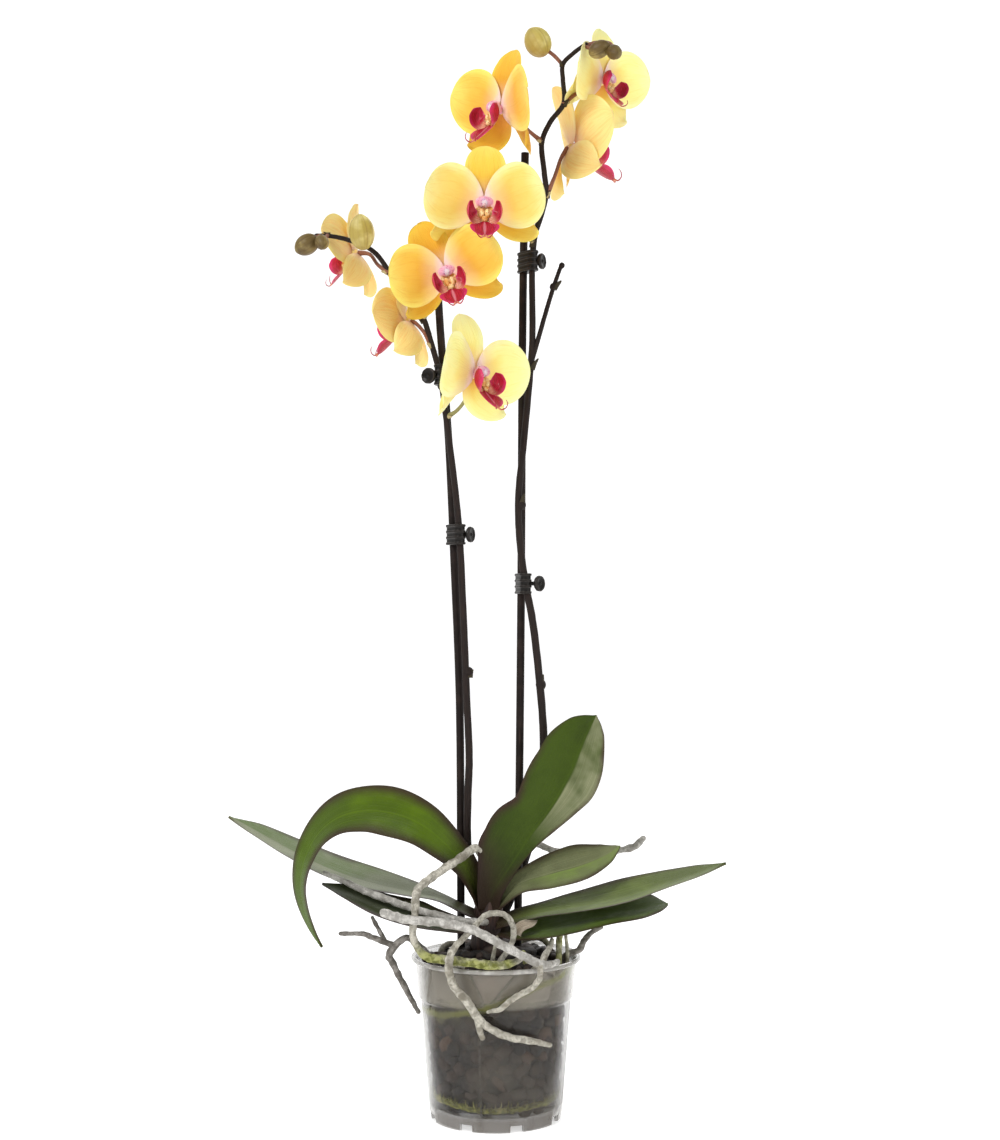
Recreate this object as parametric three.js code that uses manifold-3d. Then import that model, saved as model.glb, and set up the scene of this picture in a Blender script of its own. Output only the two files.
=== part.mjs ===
// A moth orchid with two flower spikes on stakes, in a clear plastic nursery pot.
// Millimetres, +Z up, floor at zero. Every point below is measured from the pot's own axis,
// with +X to the right and -Y to the front; POT_AXIS then moves the whole plant so that
// the origin lies on the floor under the middle of its bounding box.
import * as THREE from "three";
import { LoftGeometry } from "three/addons/geometries/LoftGeometry.js";
import { mergeVertices } from "three/addons/utils/BufferGeometryUtils.js";
import Module from "manifold-3d";

const wasm = await Module();
wasm.setup();
const { Manifold, Mesh: SolidMesh } = wasm;

const POT_AXIS = [16.1, 1.5];
// Corners closer than this are one corner.
const WELD = 1e-4;
// Room kept between two pieces, and how far a corner may move when slivers are tidied away.
const GAP = 0.4;
const TIDY = 0.06;
// Two pieces whose boxes are further apart than this aren't cut by each other.
const NEAR = 1;

// Colour and roughness of each kind of surface.
const LOOKS = {
  pot: { color: 0xb9bcb8, roughness: 0.3 },
  bark: { color: 0x4a2f20, roughness: 0.95 },
  crown: { color: 0x3b201c, roughness: 0.6 },
  spike: { color: 0x33241f, roughness: 0.5 },
  stake: { color: 0x1c1715, roughness: 0.5 },
  clip: { color: 0x2a2624, roughness: 0.35 },
  leafBright: { color: 0x4f7d2c, roughness: 0.4 },
  leafGrey: { color: 0x648547, roughness: 0.4 },
  leafDark: { color: 0x365428, roughness: 0.4 },
  rootPale: { color: 0xb4b3a6, roughness: 0.85 },
  rootGrey: { color: 0x94918a, roughness: 0.85 },
  sepalGolden: { color: 0xf0bf52, roughness: 0.6 },
  petalGolden: { color: 0xf2c14b, roughness: 0.6 },
  petalLemon: { color: 0xf1dd82, roughness: 0.6 },
  lip: { color: 0xb01848, roughness: 0.5 },
  budGreen: { color: 0xb3ac54, roughness: 0.55 },
  budOlive: { color: 0x6f6a35, roughness: 0.55 },
};

// Pot wall from the foot's inner edge round the outside to the raised floor, as [radius, height].
const POT_PROFILE = [
  [0, 8],
  [44.6, 8],
  [43.6, 0],
  [45.9, 0],
  [46.8, 5],
  [50.5, 49],
  [53.2, 83],
  [54.6, 84.1],
  [56.9, 109.8],
  [60, 110.2],
  [60, 113],
  [57.2, 113],
  [55.6, 109],
  [53.5, 85.1],
  [52, 83.3],
  [49.4, 49],
  [46, 9],
  [0, 9],
];
const POT_SEGMENTS = 36;
const NOTCH_COUNT = 8;
const NOTCH_WIDTH = 9.3;
const NOTCH_HEIGHT = 4.5;
const NOTCH_REACH = 8;
const NOTCH_FIRST = -71.5;
const FOOT_RADIUS = 44.8;

// Bark filling inside the wall, with a domed top.
const MEDIUM_PROFILE = [
  [0, 9.5],
  [45.4, 9.5],
  [48.9, 49],
  [51.5, 83],
  [54.5, 102],
  [54.6, 105],
  [46, 107.5],
  [30, 110],
  [0, 111.5],
];
// Chips lying on top, as centre, half sizes and turn about Z in degrees.
const CHIPS = [
  { at: [-38, -18, 109], half: [9, 6, 7], turn: 20 },
  { at: [-33, -31, 108], half: [8, 5, 6], turn: 65 },
  { at: [-18, -40, 108], half: [9, 5, 5], turn: -15 },
  { at: [31, -32, 109], half: [8, 6, 6], turn: 40 },
  { at: [41, -18, 109], half: [8, 6, 7], turn: -30 },
  { at: [41, 12, 110], half: [8, 7, 7], turn: 10 },
  { at: [24, 33, 110], half: [9, 7, 6], turn: 55 },
  { at: [-8, 40, 110], half: [9, 6, 7], turn: -5 },
  { at: [-32, 25, 110], half: [9, 6, 6], turn: -50 },
  { at: [-43, 5, 109], half: [7, 6, 6], turn: 80 },
];

const CROWN_ROUTE = [
  [-5, 2, 96],
  [-6, 1, 125],
  [-5, -1, 150],
  [-4, -3, 170],
];
const CROWN_RADII = [12, 12, 10, 6];
const CROWN_SIDES = 12;

// Leaf midlines from the crown to the tip. face is the way the upper side looks, half the
// widths to each side of the midrib and fold the lift of both sides in degrees.
const LEAVES = {
  leaf_arching: {
    look: LOOKS.leafBright,
    stations: [
      { at: [-9, -5, 142], face: [0.6, -0.64, 0.5], half: [7, 7], fold: 30 },
      { at: [-14, -7, 156], face: [0.55, -0.66, 0.5], half: [9, 9], fold: 24 },
      { at: [-23, -13, 177], face: [0.4, -0.7, 0.6], half: [13, 12], fold: 16 },
      { at: [-38, -20, 195], face: [0.15, -0.72, 0.7], half: [18, 16], fold: 12 },
      { at: [-54, -25, 208], face: [0, -0.68, 0.75], half: [22, 20], fold: 10 },
      { at: [-72, -28, 215], face: [-0.1, -0.66, 0.75], half: [24, 23], fold: 8 },
      { at: [-91, -30, 217], face: [-0.3, -0.64, 0.72], half: [23, 22], fold: 8 },
      { at: [-108, -32, 213], face: [-0.6, -0.6, 0.5], half: [20, 20], fold: 8 },
      { at: [-122, -34, 202], face: [-0.8, -0.52, 0.3], half: [18, 18], fold: 8 },
      { at: [-131, -35, 185], face: [-0.86, -0.48, 0.1], half: [16, 16], fold: 8 },
      { at: [-134, -35, 168], face: [-0.88, -0.46, 0], half: [13, 13], fold: 8 },
      { at: [-132, -35, 152], face: [-0.88, -0.46, -0.1], half: [10, 10], fold: 8 },
      { at: [-127, -34, 137], face: [-0.86, -0.46, -0.2], half: [6, 6], fold: 6 },
      { at: [-120, -33, 124], face: [-0.84, -0.46, -0.3], half: [1.2, 1.2], fold: 4 },
    ],
  },
  leaf_upright: {
    look: LOOKS.leafBright,
    stations: [
      { at: [-5, -8, 145], face: [0, -0.99, 0.1], half: [9, 8], fold: 34 },
      { at: [-2, -10, 158], face: [-0.05, -0.99, 0.1], half: [13, 8], fold: 28 },
      { at: [10, -12, 176], face: [-0.1, -0.98, 0.1], half: [28, 6], fold: 22 },
      { at: [18, -12, 188], face: [-0.1, -0.98, 0.12], half: [31, 7], fold: 22 },
      { at: [25, -12, 199], face: [-0.12, -0.98, 0.12], half: [31, 10], fold: 22 },
      { at: [34, -12, 211], face: [-0.12, -0.98, 0.12], half: [26, 14], fold: 22 },
      { at: [42, -12, 223], face: [-0.12, -0.98, 0.12], half: [28, 19], fold: 22 },
      { at: [48, -12, 234], face: [-0.12, -0.98, 0.12], half: [29, 24], fold: 22 },
      { at: [54, -12, 246], face: [-0.12, -0.98, 0.12], half: [28, 24], fold: 22 },
      { at: [60, -12, 261], face: [-0.12, -0.98, 0.12], half: [25, 20], fold: 22 },
      { at: [66, -12, 274], face: [-0.12, -0.98, 0.12], half: [16, 13], fold: 20 },
      { at: [71, -12, 283], face: [-0.12, -0.98, 0.12], half: [3, 3], fold: 10 },
    ],
  },
  leaf_long_left: {
    look: LOOKS.leafGrey,
    stations: [
      { at: [-10, -5, 138], face: [0.5, -0.3, 0.8], half: [7, 7], fold: 24 },
      { at: [-22, -6, 143], face: [0.4, -0.25, 0.88], half: [9, 8], fold: 20 },
      { at: [-39, 0, 151], face: [0.35, -0.2, 0.9], half: [15, 9], fold: 14 },
      { at: [-61, 6, 155], face: [0.3, -0.2, 0.92], half: [20, 17], fold: 12 },
      { at: [-90, 11, 160.5], face: [0.25, -0.2, 0.92], half: [25, 24], fold: 12 },
      { at: [-119, 13, 169.5], face: [0.3, -0.2, 0.92], half: [25, 25], fold: 12 },
      { at: [-148, 15, 183], face: [0.35, -0.2, 0.9], half: [22, 21], fold: 12 },
      { at: [-174, 18, 197], face: [0.4, -0.2, 0.88], half: [14, 13], fold: 12 },
      { at: [-193, 19, 208], face: [0.4, -0.2, 0.88], half: [2, 2], fold: 8 },
    ],
  },
  leaf_dark_left: {
    look: LOOKS.leafDark,
    stations: [
      { at: [-9, -9, 130], face: [0.3, -0.35, 0.88], half: [7, 7], fold: 24 },
      { at: [-22, -15, 133], face: [0.2, -0.35, 0.9], half: [11, 10], fold: 20 },
      { at: [-36, -20, 137], face: [0.1, -0.32, 0.92], half: [17, 15], fold: 14 },
      { at: [-53, -23, 141], face: [0.1, -0.3, 0.93], half: [21, 20], fold: 12 },
      { at: [-78, -22, 147.5], face: [0.2, -0.3, 0.93], half: [20, 19], fold: 12 },
      { at: [-104, -18, 158], face: [0.25, -0.3, 0.92], half: [13, 13], fold: 12 },
      { at: [-122, -15, 165], face: [0.25, -0.3, 0.92], half: [2, 2], fold: 8 },
    ],
  },
  leaf_small_right: {
    look: LOOKS.leafBright,
    stations: [
      { at: [-2, -7, 144], face: [-0.4, -0.7, 0.6], half: [7, 7], fold: 30 },
      { at: [4, -9, 152], face: [-0.4, -0.7, 0.6], half: [8, 9], fold: 26 },
      { at: [17, -10, 164], face: [-0.3, -0.7, 0.7], half: [9, 13], fold: 20 },
      { at: [38, -10, 171], face: [-0.2, -0.7, 0.72], half: [15, 18], fold: 16 },
      { at: [60, -9, 177], face: [-0.25, -0.7, 0.7], half: [17, 18], fold: 16 },
      { at: [78, -7, 184], face: [-0.3, -0.7, 0.7], half: [10, 10], fold: 12 },
      { at: [88, -6, 190], face: [-0.3, -0.7, 0.7], half: [2, 2], fold: 8 },
    ],
  },
  leaf_long_right: {
    look: LOOKS.leafGrey,
    stations: [
      { at: [1, -10, 134], face: [-0.3, -0.5, 0.85], half: [7, 7], fold: 26 },
      { at: [13, -13, 139], face: [-0.2, -0.45, 0.88], half: [9, 10], fold: 22 },
      { at: [31, -17, 144], face: [-0.15, -0.25, 0.94], half: [13, 15], fold: 16 },
      { at: [52, -20, 148], face: [-0.1, -0.2, 0.95], half: [19, 20], fold: 14 },
      { at: [75, -21, 152], face: [-0.15, -0.18, 0.96], half: [24, 24], fold: 14 },
      { at: [98, -21, 158], face: [-0.2, -0.18, 0.96], half: [24, 24], fold: 14 },
      { at: [122, -21, 166], face: [-0.3, -0.18, 0.94], half: [19, 19], fold: 14 },
      { at: [143, -20, 173], face: [-0.3, -0.18, 0.94], half: [12, 12], fold: 12 },
      { at: [161, -20, 180], face: [-0.3, -0.18, 0.94], half: [1.5, 1.5], fold: 8 },
    ],
  },
  leaf_low_right: {
    look: LOOKS.leafDark,
    stations: [
      { at: [3, -13, 130], face: [0, -0.5, 0.87], half: [7, 7], fold: 20 },
      { at: [14, -18, 130], face: [-0.05, -0.5, 0.87], half: [9, 9], fold: 18 },
      { at: [30, -22, 133], face: [-0.1, -0.45, 0.88], half: [14, 14], fold: 14 },
      { at: [52, -25, 138], face: [-0.15, -0.35, 0.92], half: [19, 19], fold: 12 },
      { at: [76, -26, 144], face: [-0.15, -0.32, 0.94], half: [22, 22], fold: 12 },
      { at: [98, -26, 148], face: [-0.15, -0.32, 0.94], half: [20, 20], fold: 12 },
      { at: [112, -25, 151], face: [-0.15, -0.32, 0.94], half: [13, 13], fold: 10 },
      { at: [120, -24, 152], face: [-0.15, -0.32, 0.94], half: [3, 3], fold: 6 },
    ],
  },
};
// Columns across a blade, thickness at its midrib and edge, and how sharply it folds.
const LEAF_STYLE = { columns: 4, middle: 2.2, edge: 1.1, crease: 1.2 };

const STAKE_RADIUS = 2.8;
const STAKE_SIDES = 8;
const STAKES = {
  support_stake_left: [
    [-24, 5, 30],
    [-25, 5, 151],
    [-26, 5, 293],
    [-30, 5, 393],
    [-34, 5, 479],
    [-40, 5, 558],
    [-42, 5, 591],
  ],
  support_stake_right: [
    [14.5, 5, 30],
    [16, 5, 165],
    [18, 5, 364],
    [19, 5, 544],
    [21, 5, 687],
  ],
};

const SPIKE_LEFT = [
  [-9, 6, 137],
  [-16, 7, 160],
  [-20, 3, 190],
  [-20, -3, 222],
  [-19, -3.5, 251],
  [-21, -3.5, 300],
  [-23, -3.5, 350],
  [-26, -3.5, 411],
  [-29, -3.5, 443],
  [-36, -3.5, 498],
  [-40, -3.5, 525],
  [-46, -3.5, 547],
  [-52, -3, 566],
  [-62, 0, 582],
  [-75, 2, 598],
  [-88, 3, 615],
  [-105, 3, 623],
  [-119, 2, 626],
  [-129, 0, 626],
];
const SPIKE_LEFT_TAPER = [3, 1.5];
const SPIKE_RIGHT = [
  [3, 6, 134],
  [11, 10, 152],
  [23, 11, 185],
  [32, 7, 229],
  [34, 2, 264],
  [31, -2, 307],
  [26, -3.5, 350],
  [21, -3.5, 376],
  [17, -3.5, 407],
  [16, -3.5, 436],
  [20, -3.5, 478],
  [24, -3.5, 521],
  [26, -3.5, 550],
  [26, -3.5, 606],
  [28, -3.5, 626],
  [33, -3, 642],
  [36, -3, 656],
  [34.5, -3, 672],
  [33, -3, 693],
  [39, -4, 707],
  [48.5, -5, 720],
  [48, -5, 737],
  [48, -6, 748],
  [56, -11, 755],
  [64, -17, 759],
];
const SPIKE_RIGHT_TAPER = [3.1, 1.5];
const SIDE_SHOOT = [
  [25, -3.5, 533],
  [32, -4, 557],
  [39, -5, 581],
  [44, -6, 596],
  [47, -6, 604],
];
const SIDE_SHOOT_TAPER = [1.8, 1.4];
const SPIKE_SIDES = 6;
// Swollen joints of the spikes, as centre and radius.
const LEFT_JOINTS = [{ at: [-19.5, -3.4, 313], radius: 3.4 }];
const RIGHT_JOINTS = [
  { at: [32, -0.5, 304], radius: 3.6 },
  { at: [18, -3.5, 432], radius: 3.4 },
  { at: [41, -5.3, 588], radius: 2.6 },
];
const JOINT_SIDES = 6;
const JOINT_RINGS = 4;
const JOINT_SQUASH = 0.8;

// Clips that hold a spike to its stake: height, knob centre and knob direction.
const CLIPS = [
  { stake: [-31.2, 5], stem: [-26, -3.5], z: 411, knob: [-18.2, -1.5, 411], normal: [0.9, -0.42, 0] },
  { stake: [-37, 5], stem: [-40, -3.5], z: 525, knob: [-48, -6.5, 524], normal: [-0.5, -0.87, 0] },
  { stake: [20, 5], stem: [26, -3.5], z: 607, knob: [32.8, -2, 607], normal: [0.9, -0.42, 0] },
  { stake: [18.1, 5], stem: [21, -3.5], z: 376, knob: [31, -2, 376], normal: [0.8, -0.6, 0] },
];
const CLIP_WALL = 1.4;
const CLIP_HEIGHT = 14.5;
const CLIP_BANDS = 4;
const CLIP_BAND_HEIGHT = 1.8;
const CLIP_BAND_PROUD = 0.6;
const CLIP_SIDES = 6;
const STEM_REACH = 2.5;
const KNOB_RADIUS = 5.6;
const KNOB_THICK = 3;
const KNOB_SIDES = 10;
const NECK_RADIUS = 1.6;
const NECK_SIDES = 6;

// Flowers: centre, the way the face looks, angles in that face's plane of the two petals and of
// the upper and the two lower sepals, roll of the lip, size, colour and the points of the stalk.
const FLOWERS = [
  {
    centre: [-8, -48, 636],
    facing: [0.03, -1, -0.12],
    petals: [17, 165],
    sepals: [88, -24, -154],
    roll: 0,
    size: 1,
    look: LOOKS.petalGolden,
    stalk: [[27, -3.5, 621], [20, -12, 623], [9, -29, 630]],
  },
  {
    centre: [3, -20, 711],
    facing: [-0.75, -0.66, -0.1],
    petals: [7, 155],
    sepals: [76, -50, -154],
    roll: -2,
    size: 1,
    look: LOOKS.petalGolden,
    stalk: [[33, -3, 693], [25, -5, 699], [14, -12, 707]],
  },
  {
    centre: [58, 21, 695],
    facing: [0.93, 0.34, 0.14],
    petals: [4, 164],
    sepals: [88, -36, -150],
    roll: 0,
    size: 1.08,
    look: LOOKS.petalGolden,
    stalk: [[36, -3, 653], [42, -1, 668], [47, 9, 684]],
  },
  {
    centre: [78, 6, 740],
    facing: [0.68, -0.72, -0.12],
    petals: [12, 174],
    sepals: [88, -44, -158],
    roll: -18,
    size: 0.9,
    look: LOOKS.petalLemon,
    stalk: [[48.5, -5, 720], [57, 0, 728], [67, 8, 735]],
  },
  {
    centre: [-34, -39, 590.5],
    facing: [0.05, -0.99, -0.12],
    petals: [34, 184],
    sepals: [121, -10, -136],
    roll: 16,
    size: 0.96,
    look: LOOKS.petalGolden,
    stalk: [[-52, -3, 566], [-46, -7, 573], [-38, -20, 584]],
  },
  {
    centre: [-14, -37, 521],
    facing: [0.7, -0.7, -0.1],
    petals: [8, 170],
    sepals: [104, -40, -140],
    roll: -4,
    size: 1,
    look: LOOKS.petalLemon,
    stalk: [[-35, -3.5, 495], [-28, -6, 499], [-20, -16, 509]],
  },
  {
    centre: [-66, 2, 564],
    facing: [-0.95, 0.27, -0.1],
    petals: [4, 170],
    sepals: [60, -44, -130],
    roll: 0,
    size: 0.88,
    look: LOOKS.petalGolden,
    stalk: [[-46, -3.5, 545], [-51, -3, 555], [-57, -2, 562]],
  },
  {
    centre: [-106, 35, 620],
    facing: [-0.95, 0.27, -0.1],
    petals: [24, 170],
    sepals: [86, -48, -130],
    roll: -30,
    size: 0.85,
    look: LOOKS.petalGolden,
    stalk: [[-78, 2, 600], [-85, 7, 606], [-92, 20, 616.5]],
  },
];
const STALK_TAPER = [1.6, 1.7];
const STALK_SIDES = 5;
const HUB_BACK = 6;

// A petal or sepal runs out from the middle of the flower. widest is the share of its reach where
// half is met, fullness how soon it fills out from its foot, sweep how far the tip bends forward,
// fold the lift of both sides and lean the turn of its lower side to the back, both in degrees.
const PETAL = {
  start: 2,
  reach: 40,
  half: 23,
  widest: 0.56,
  fullness: 0.75,
  plane: 0,
  lean: 0,
  sweep: 12,
  fold: -5,
  columns: 4,
};
const DORSAL_SEPAL = {
  start: 1,
  reach: 41,
  half: 14.5,
  widest: 0.6,
  fullness: 1,
  plane: -3,
  lean: 0,
  sweep: -7,
  fold: 8,
  columns: 2,
};
const LATERAL_SEPAL = {
  start: 1,
  reach: 39,
  half: 14,
  widest: 0.6,
  fullness: 1,
  plane: -4,
  lean: 32,
  sweep: 6,
  fold: 2,
  columns: 2,
};
const TEPAL_STEPS = [0, 0.15, 0.36, 0.58, 0.8, 0.94, 1];
const TEPAL_STYLE = { middle: 1.2, edge: 0.6, crease: 1.6 };
const FOOT_BACK = 0.06;
const BLUNT_TIP = 0.022;

const COLUMN_ROUTE = [
  [0, 0, -2.2],
  [0, 0.6, 3],
  [0, 1.4, 7.5],
];
const COLUMN_RADII = [3.2, 3.3, 3.5];
const HUB_ROUTE = [
  [0, 0, -6],
  [0, 0, -4],
  [0, 0, -2.5],
];
const HUB_RADII = [2, 3.4, 3.4];
const COLUMN_SIDES = 6;
// The lip: a middle lobe that runs forward and down, and two lobes cupped round the column.
const LIP_STYLE = { columns: 2, middle: 1.6, edge: 0.7, crease: 1.5 };
const LIP_MIDDLE = [
  { at: [0, -4, 3], face: [0, 0.55, 0.83], half: [2.5, 2.5], fold: 10 },
  { at: [0, -8.5, 7], face: [0, 0.62, 0.78], half: [2.6, 2.6], fold: 10 },
  { at: [0, -12.4, 11], face: [0, 0.66, 0.75], half: [3, 3], fold: 0 },
  { at: [0, -15, 14], face: [0, 0.76, 0.65], half: [9, 9], fold: 10 },
  { at: [0, -17.8, 17.6], face: [0, 0.8, 0.6], half: [10.4, 10.4], fold: 12 },
  { at: [0, -20.2, 21], face: [0, 0.82, 0.57], half: [8.6, 8.6], fold: 10 },
  { at: [0, -22, 23.6], face: [0, 0.8, 0.6], half: [5, 5], fold: 6 },
  { at: [0, -23.2, 25.4], face: [0, 0.78, 0.62], half: [1.4, 1.4], fold: 0 },
];
const LIP_SIDE = [
  { at: [3, -12, 11.5], face: [-0.5, 0.3, 0.8], half: [2.4, 2.4], fold: 0 },
  { at: [7, -11, 12], face: [-0.7, 0.2, 0.68], half: [5, 5], fold: 20 },
  { at: [10.4, -8, 12.2], face: [-0.82, 0.05, 0.57], half: [7.2, 7.2], fold: 32 },
  { at: [11.4, -4.5, 12], face: [-0.85, 0, 0.53], half: [8, 8], fold: 36 },
  { at: [10.6, -0.8, 11.6], face: [-0.85, -0.1, 0.53], half: [6, 6], fold: 32 },
  { at: [8.2, 2.4, 11.2], face: [-0.83, -0.2, 0.53], half: [2.2, 2.2], fold: 10 },
];
const CALLUS = { at: [0, -8.2, 9], radius: 3.2 };

const BUDS = [
  {
    look: LOOKS.budGreen,
    at: [30, -6, 764],
    along: [-0.5, 0, 0.87],
    half: [9.6, 11],
    stalk: [[47.5, -6, 748], [42, -6, 754], [37, -6, 758]],
  },
  {
    look: LOOKS.budOlive,
    at: [73, -27, 752],
    along: [0.7, -0.2, 0.3],
    half: [6.2, 8],
    stalk: [[63, -16, 758], [67, -20, 755]],
  },
  {
    look: LOOKS.budOlive,
    at: [83, -33, 748],
    along: [0.2, -0.7, -0.3],
    half: [5.2, 7.6],
    stalk: [[63, -16, 758], [71, -14, 761], [80, -22, 758]],
  },
  {
    look: LOOKS.budGreen,
    at: [-96, -5, 627],
    along: [-0.1, -0.3, 0.95],
    half: [9.2, 12.6],
    stalk: [[-95, 3, 619.5], [-96, 0, 621]],
  },
  {
    look: LOOKS.budOlive,
    at: [-135.5, -2, 619],
    along: [-0.8, 0, -0.5],
    half: [7.4, 9.2],
    stalk: [[-127, 0, 626], [-130, -1, 624]],
  },
  {
    look: LOOKS.budOlive,
    at: [-124, -10, 619],
    along: [0.2, -0.6, -0.6],
    half: [5, 6.6],
    stalk: [[-121, 0, 626], [-122, -5, 623]],
  },
];
const BUD_SIDES = 8;
const BUD_RINGS = 6;
const BUD_STALK_TAPER = [1.3, 1.3];

// Roots that leave the bark or the stem above it, each with its radii and side branches.
const ROOTS = {
  aerial_root_front: {
    look: LOOKS.rootPale,
    runs: [
      {
        route: [
          [-4, -2, 166],
          [-9, -12, 183],
          [-14, -18, 190],
          [-26, -30, 184],
          [-43, -42, 174],
          [-53, -50, 166],
          [-55, -54, 150],
          [-56, -55, 134],
          [-48, -54, 122],
          [-33, -55, 119.5],
          [-17, -58, 118],
          [-6, -59, 117],
          [6, -59, 117],
          [14, -56, 119],
          [20, -52, 121],
        ],
        radii: [2.6, 2.8, 2.8, 2.9, 2.8, 2.8, 2.6, 2.5, 2.8, 3, 3, 3, 2.7, 2.4, 1.8],
      },
    ],
  },
  aerial_root_back: {
    look: LOOKS.rootPale,
    runs: [
      {
        route: [
          [2, 2, 160],
          [8, 16, 182],
          [14, 20, 190],
          [27, 24, 189],
          [41, 25, 183],
          [59, 23, 182],
          [75, 21, 183],
          [89, 19, 184],
          [100, 17, 187],
          [106, 15, 193],
        ],
        radii: [2.4, 2.4, 2.4, 2.5, 2.5, 2.5, 2.4, 2.4, 2.4, 1.8],
      },
    ],
  },
  aerial_root_left: {
    look: LOOKS.rootGrey,
    runs: [
      {
        route: [
          [-7, -14, 138],
          [-22, -20, 140],
          [-38, -24, 144],
          [-55, -25, 148.5],
          [-72, -23, 154],
          [-90, -20, 160],
          [-108, -18, 168],
          [-120, -18, 173],
        ],
        radii: [2.2, 2.4, 2.5, 2.7, 2.7, 2.5, 2.1, 1.5],
      },
    ],
  },
  aerial_root_across: {
    look: LOOKS.rootPale,
    runs: [
      {
        route: [
          [-76, -53, 151],
          [-62, -60, 148],
          [-49, -62, 147],
          [-32, -62, 145],
          [-15, -63, 141],
          [3, -64, 132],
          [20, -64, 123],
          [33, -57, 116.6],
          [42, -47, 116.6],
        ],
        radii: [3, 3, 3, 3, 3, 2.9, 2.8, 2.7, 2],
      },
    ],
  },
  aerial_root_over_rim: {
    look: LOOKS.rootPale,
    runs: [
      {
        route: [
          [0, -34, 110],
          [7, -36, 121],
          [12, -38, 131],
          [11, -42, 142],
          [4, -47, 149.5],
          [-7, -52, 149],
          [-16, -56, 140],
          [-25, -61, 132],
          [-31, -64, 123],
          [-31, -62, 112],
          [-27, -57, 100],
          [-19, -58, 92],
          [-13, -58, 82],
          [-4, -58, 74],
          [9, -57, 68],
          [22, -54, 65],
          [37, -46, 60],
        ],
        radii: [2, 2, 2, 2, 2, 2, 2, 2.2, 2.6, 2.8, 2.8, 2.8, 2.8, 2.6, 2.5, 2.3, 1.6],
      },
      {
        route: [
          [-13, -58, 82],
          [-11, -59, 74],
          [-9, -59, 68],
        ],
        radii: [2.4, 2.2, 1.8],
      },
    ],
  },
  aerial_root_hanging: {
    look: LOOKS.rootGrey,
    runs: [
      {
        route: [
          [-38, -24, 108],
          [-50, -32, 122],
          [-61, -31, 130],
          [-70, -29, 124],
          [-74, -27, 117],
          [-71, -25, 110],
          [-65, -24, 98],
          [-60, -22, 88],
          [-54, -21, 77],
        ],
        radii: [2.2, 2.3, 2.4, 2.6, 2.6, 2.4, 2.2, 2, 1.6],
      },
      {
        route: [
          [-70, -29, 124],
          [-83, -28, 129],
          [-92, -27, 132],
          [-108, -26, 132],
        ],
        radii: [2.2, 2, 1.8, 1.4],
      },
      {
        route: [
          [-76, -28, 126],
          [-79, -27, 131],
          [-83, -26, 138],
          [-86, -25, 143],
        ],
        radii: [1.6, 1.6, 1.5, 1.2],
      },
    ],
  },
  aerial_root_wall: {
    look: LOOKS.rootPale,
    runs: [
      {
        route: [
          [24, -42, 108],
          [29, -54, 116.4],
          [30, -61, 116],
          [29.5, -60, 108],
          [24, -55, 100],
          [17, -57, 97],
          [9, -58.5, 92],
          [3, -58, 87],
          [-5, -57.5, 85],
        ],
        radii: [1.8, 1.9, 2, 2, 2, 2, 1.9, 1.8, 1.3],
      },
    ],
  },
  aerial_root_right: {
    look: LOOKS.rootGrey,
    runs: [
      {
        route: [
          [43, -12, 106],
          [50, -12, 115],
          [58, -12, 118],
          [62, -10, 124],
          [67, -6, 129],
          [75, 0, 132],
        ],
        radii: [2, 2.2, 2.3, 2.1, 1.8, 1.3],
      },
    ],
  },
};
const ROOT_SIDES = 6;

const rad = THREE.MathUtils.degToRad;
const vec = (point) => new THREE.Vector3(...point);

function solidOf(geometry) {
  const bare = new THREE.BufferGeometry();
  bare.setAttribute("position", geometry.getAttribute("position"));
  bare.setIndex(geometry.index);
  const merged = mergeVertices(bare, WELD);
  return new Manifold(
    new SolidMesh({
      numProp: 3,
      vertProperties: merged.attributes.position.array,
      triVerts: new Uint32Array(merged.index.array),
    }),
  );
}

function geometryOf(solid) {
  const mesh = solid.getMesh();
  const geometry = new THREE.BufferGeometry();
  geometry.setAttribute("position", new THREE.BufferAttribute(new Float32Array(mesh.vertProperties), 3));
  geometry.setIndex(new THREE.BufferAttribute(new Uint32Array(mesh.triVerts), 1));
  geometry.computeVertexNormals();
  return geometry;
}

function loftThrough(sections, matrix) {
  const geometry = new LoftGeometry(sections, { capStart: true, capEnd: true });
  if (matrix) geometry.applyMatrix4(matrix);
  return solidOf(geometry);
}

// One radius for each point of a route, from the first to the last.
function taper(route, [first, last]) {
  return route.map((point, index) => THREE.MathUtils.lerp(first, last, index / (route.length - 1)));
}

// A round bar through the route's points, with one radius given at each of them.
function bar(route, radii, sides, spans = 2, matrix = null) {
  const curve = new THREE.CatmullRomCurve3(route.map(vec), false, "centripetal");
  const steps = (route.length - 1) * spans;
  const sections = [];
  const across = new THREE.Vector3(0, 1, 0.3);
  for (let step = 0; step <= steps; step += 1) {
    const centre = curve.getPoint(step / steps);
    const along = curve.getTangent(step / steps);
    across.addScaledVector(along, -across.dot(along)).normalize();
    const other = along.clone().cross(across);
    const passed = step / spans;
    const index = Math.min(Math.floor(passed), radii.length - 2);
    const radius = THREE.MathUtils.lerp(radii[index], radii[index + 1], passed - index);
    const ring = [];
    for (let side = 0; side < sides; side += 1) {
      const angle = (2 * Math.PI * side) / sides;
      ring.push(
        centre
          .clone()
          .addScaledVector(across, radius * Math.cos(angle))
          .addScaledVector(other, radius * Math.sin(angle)),
      );
    }
    sections.push(ring);
  }
  return loftThrough(sections, matrix);
}

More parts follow.
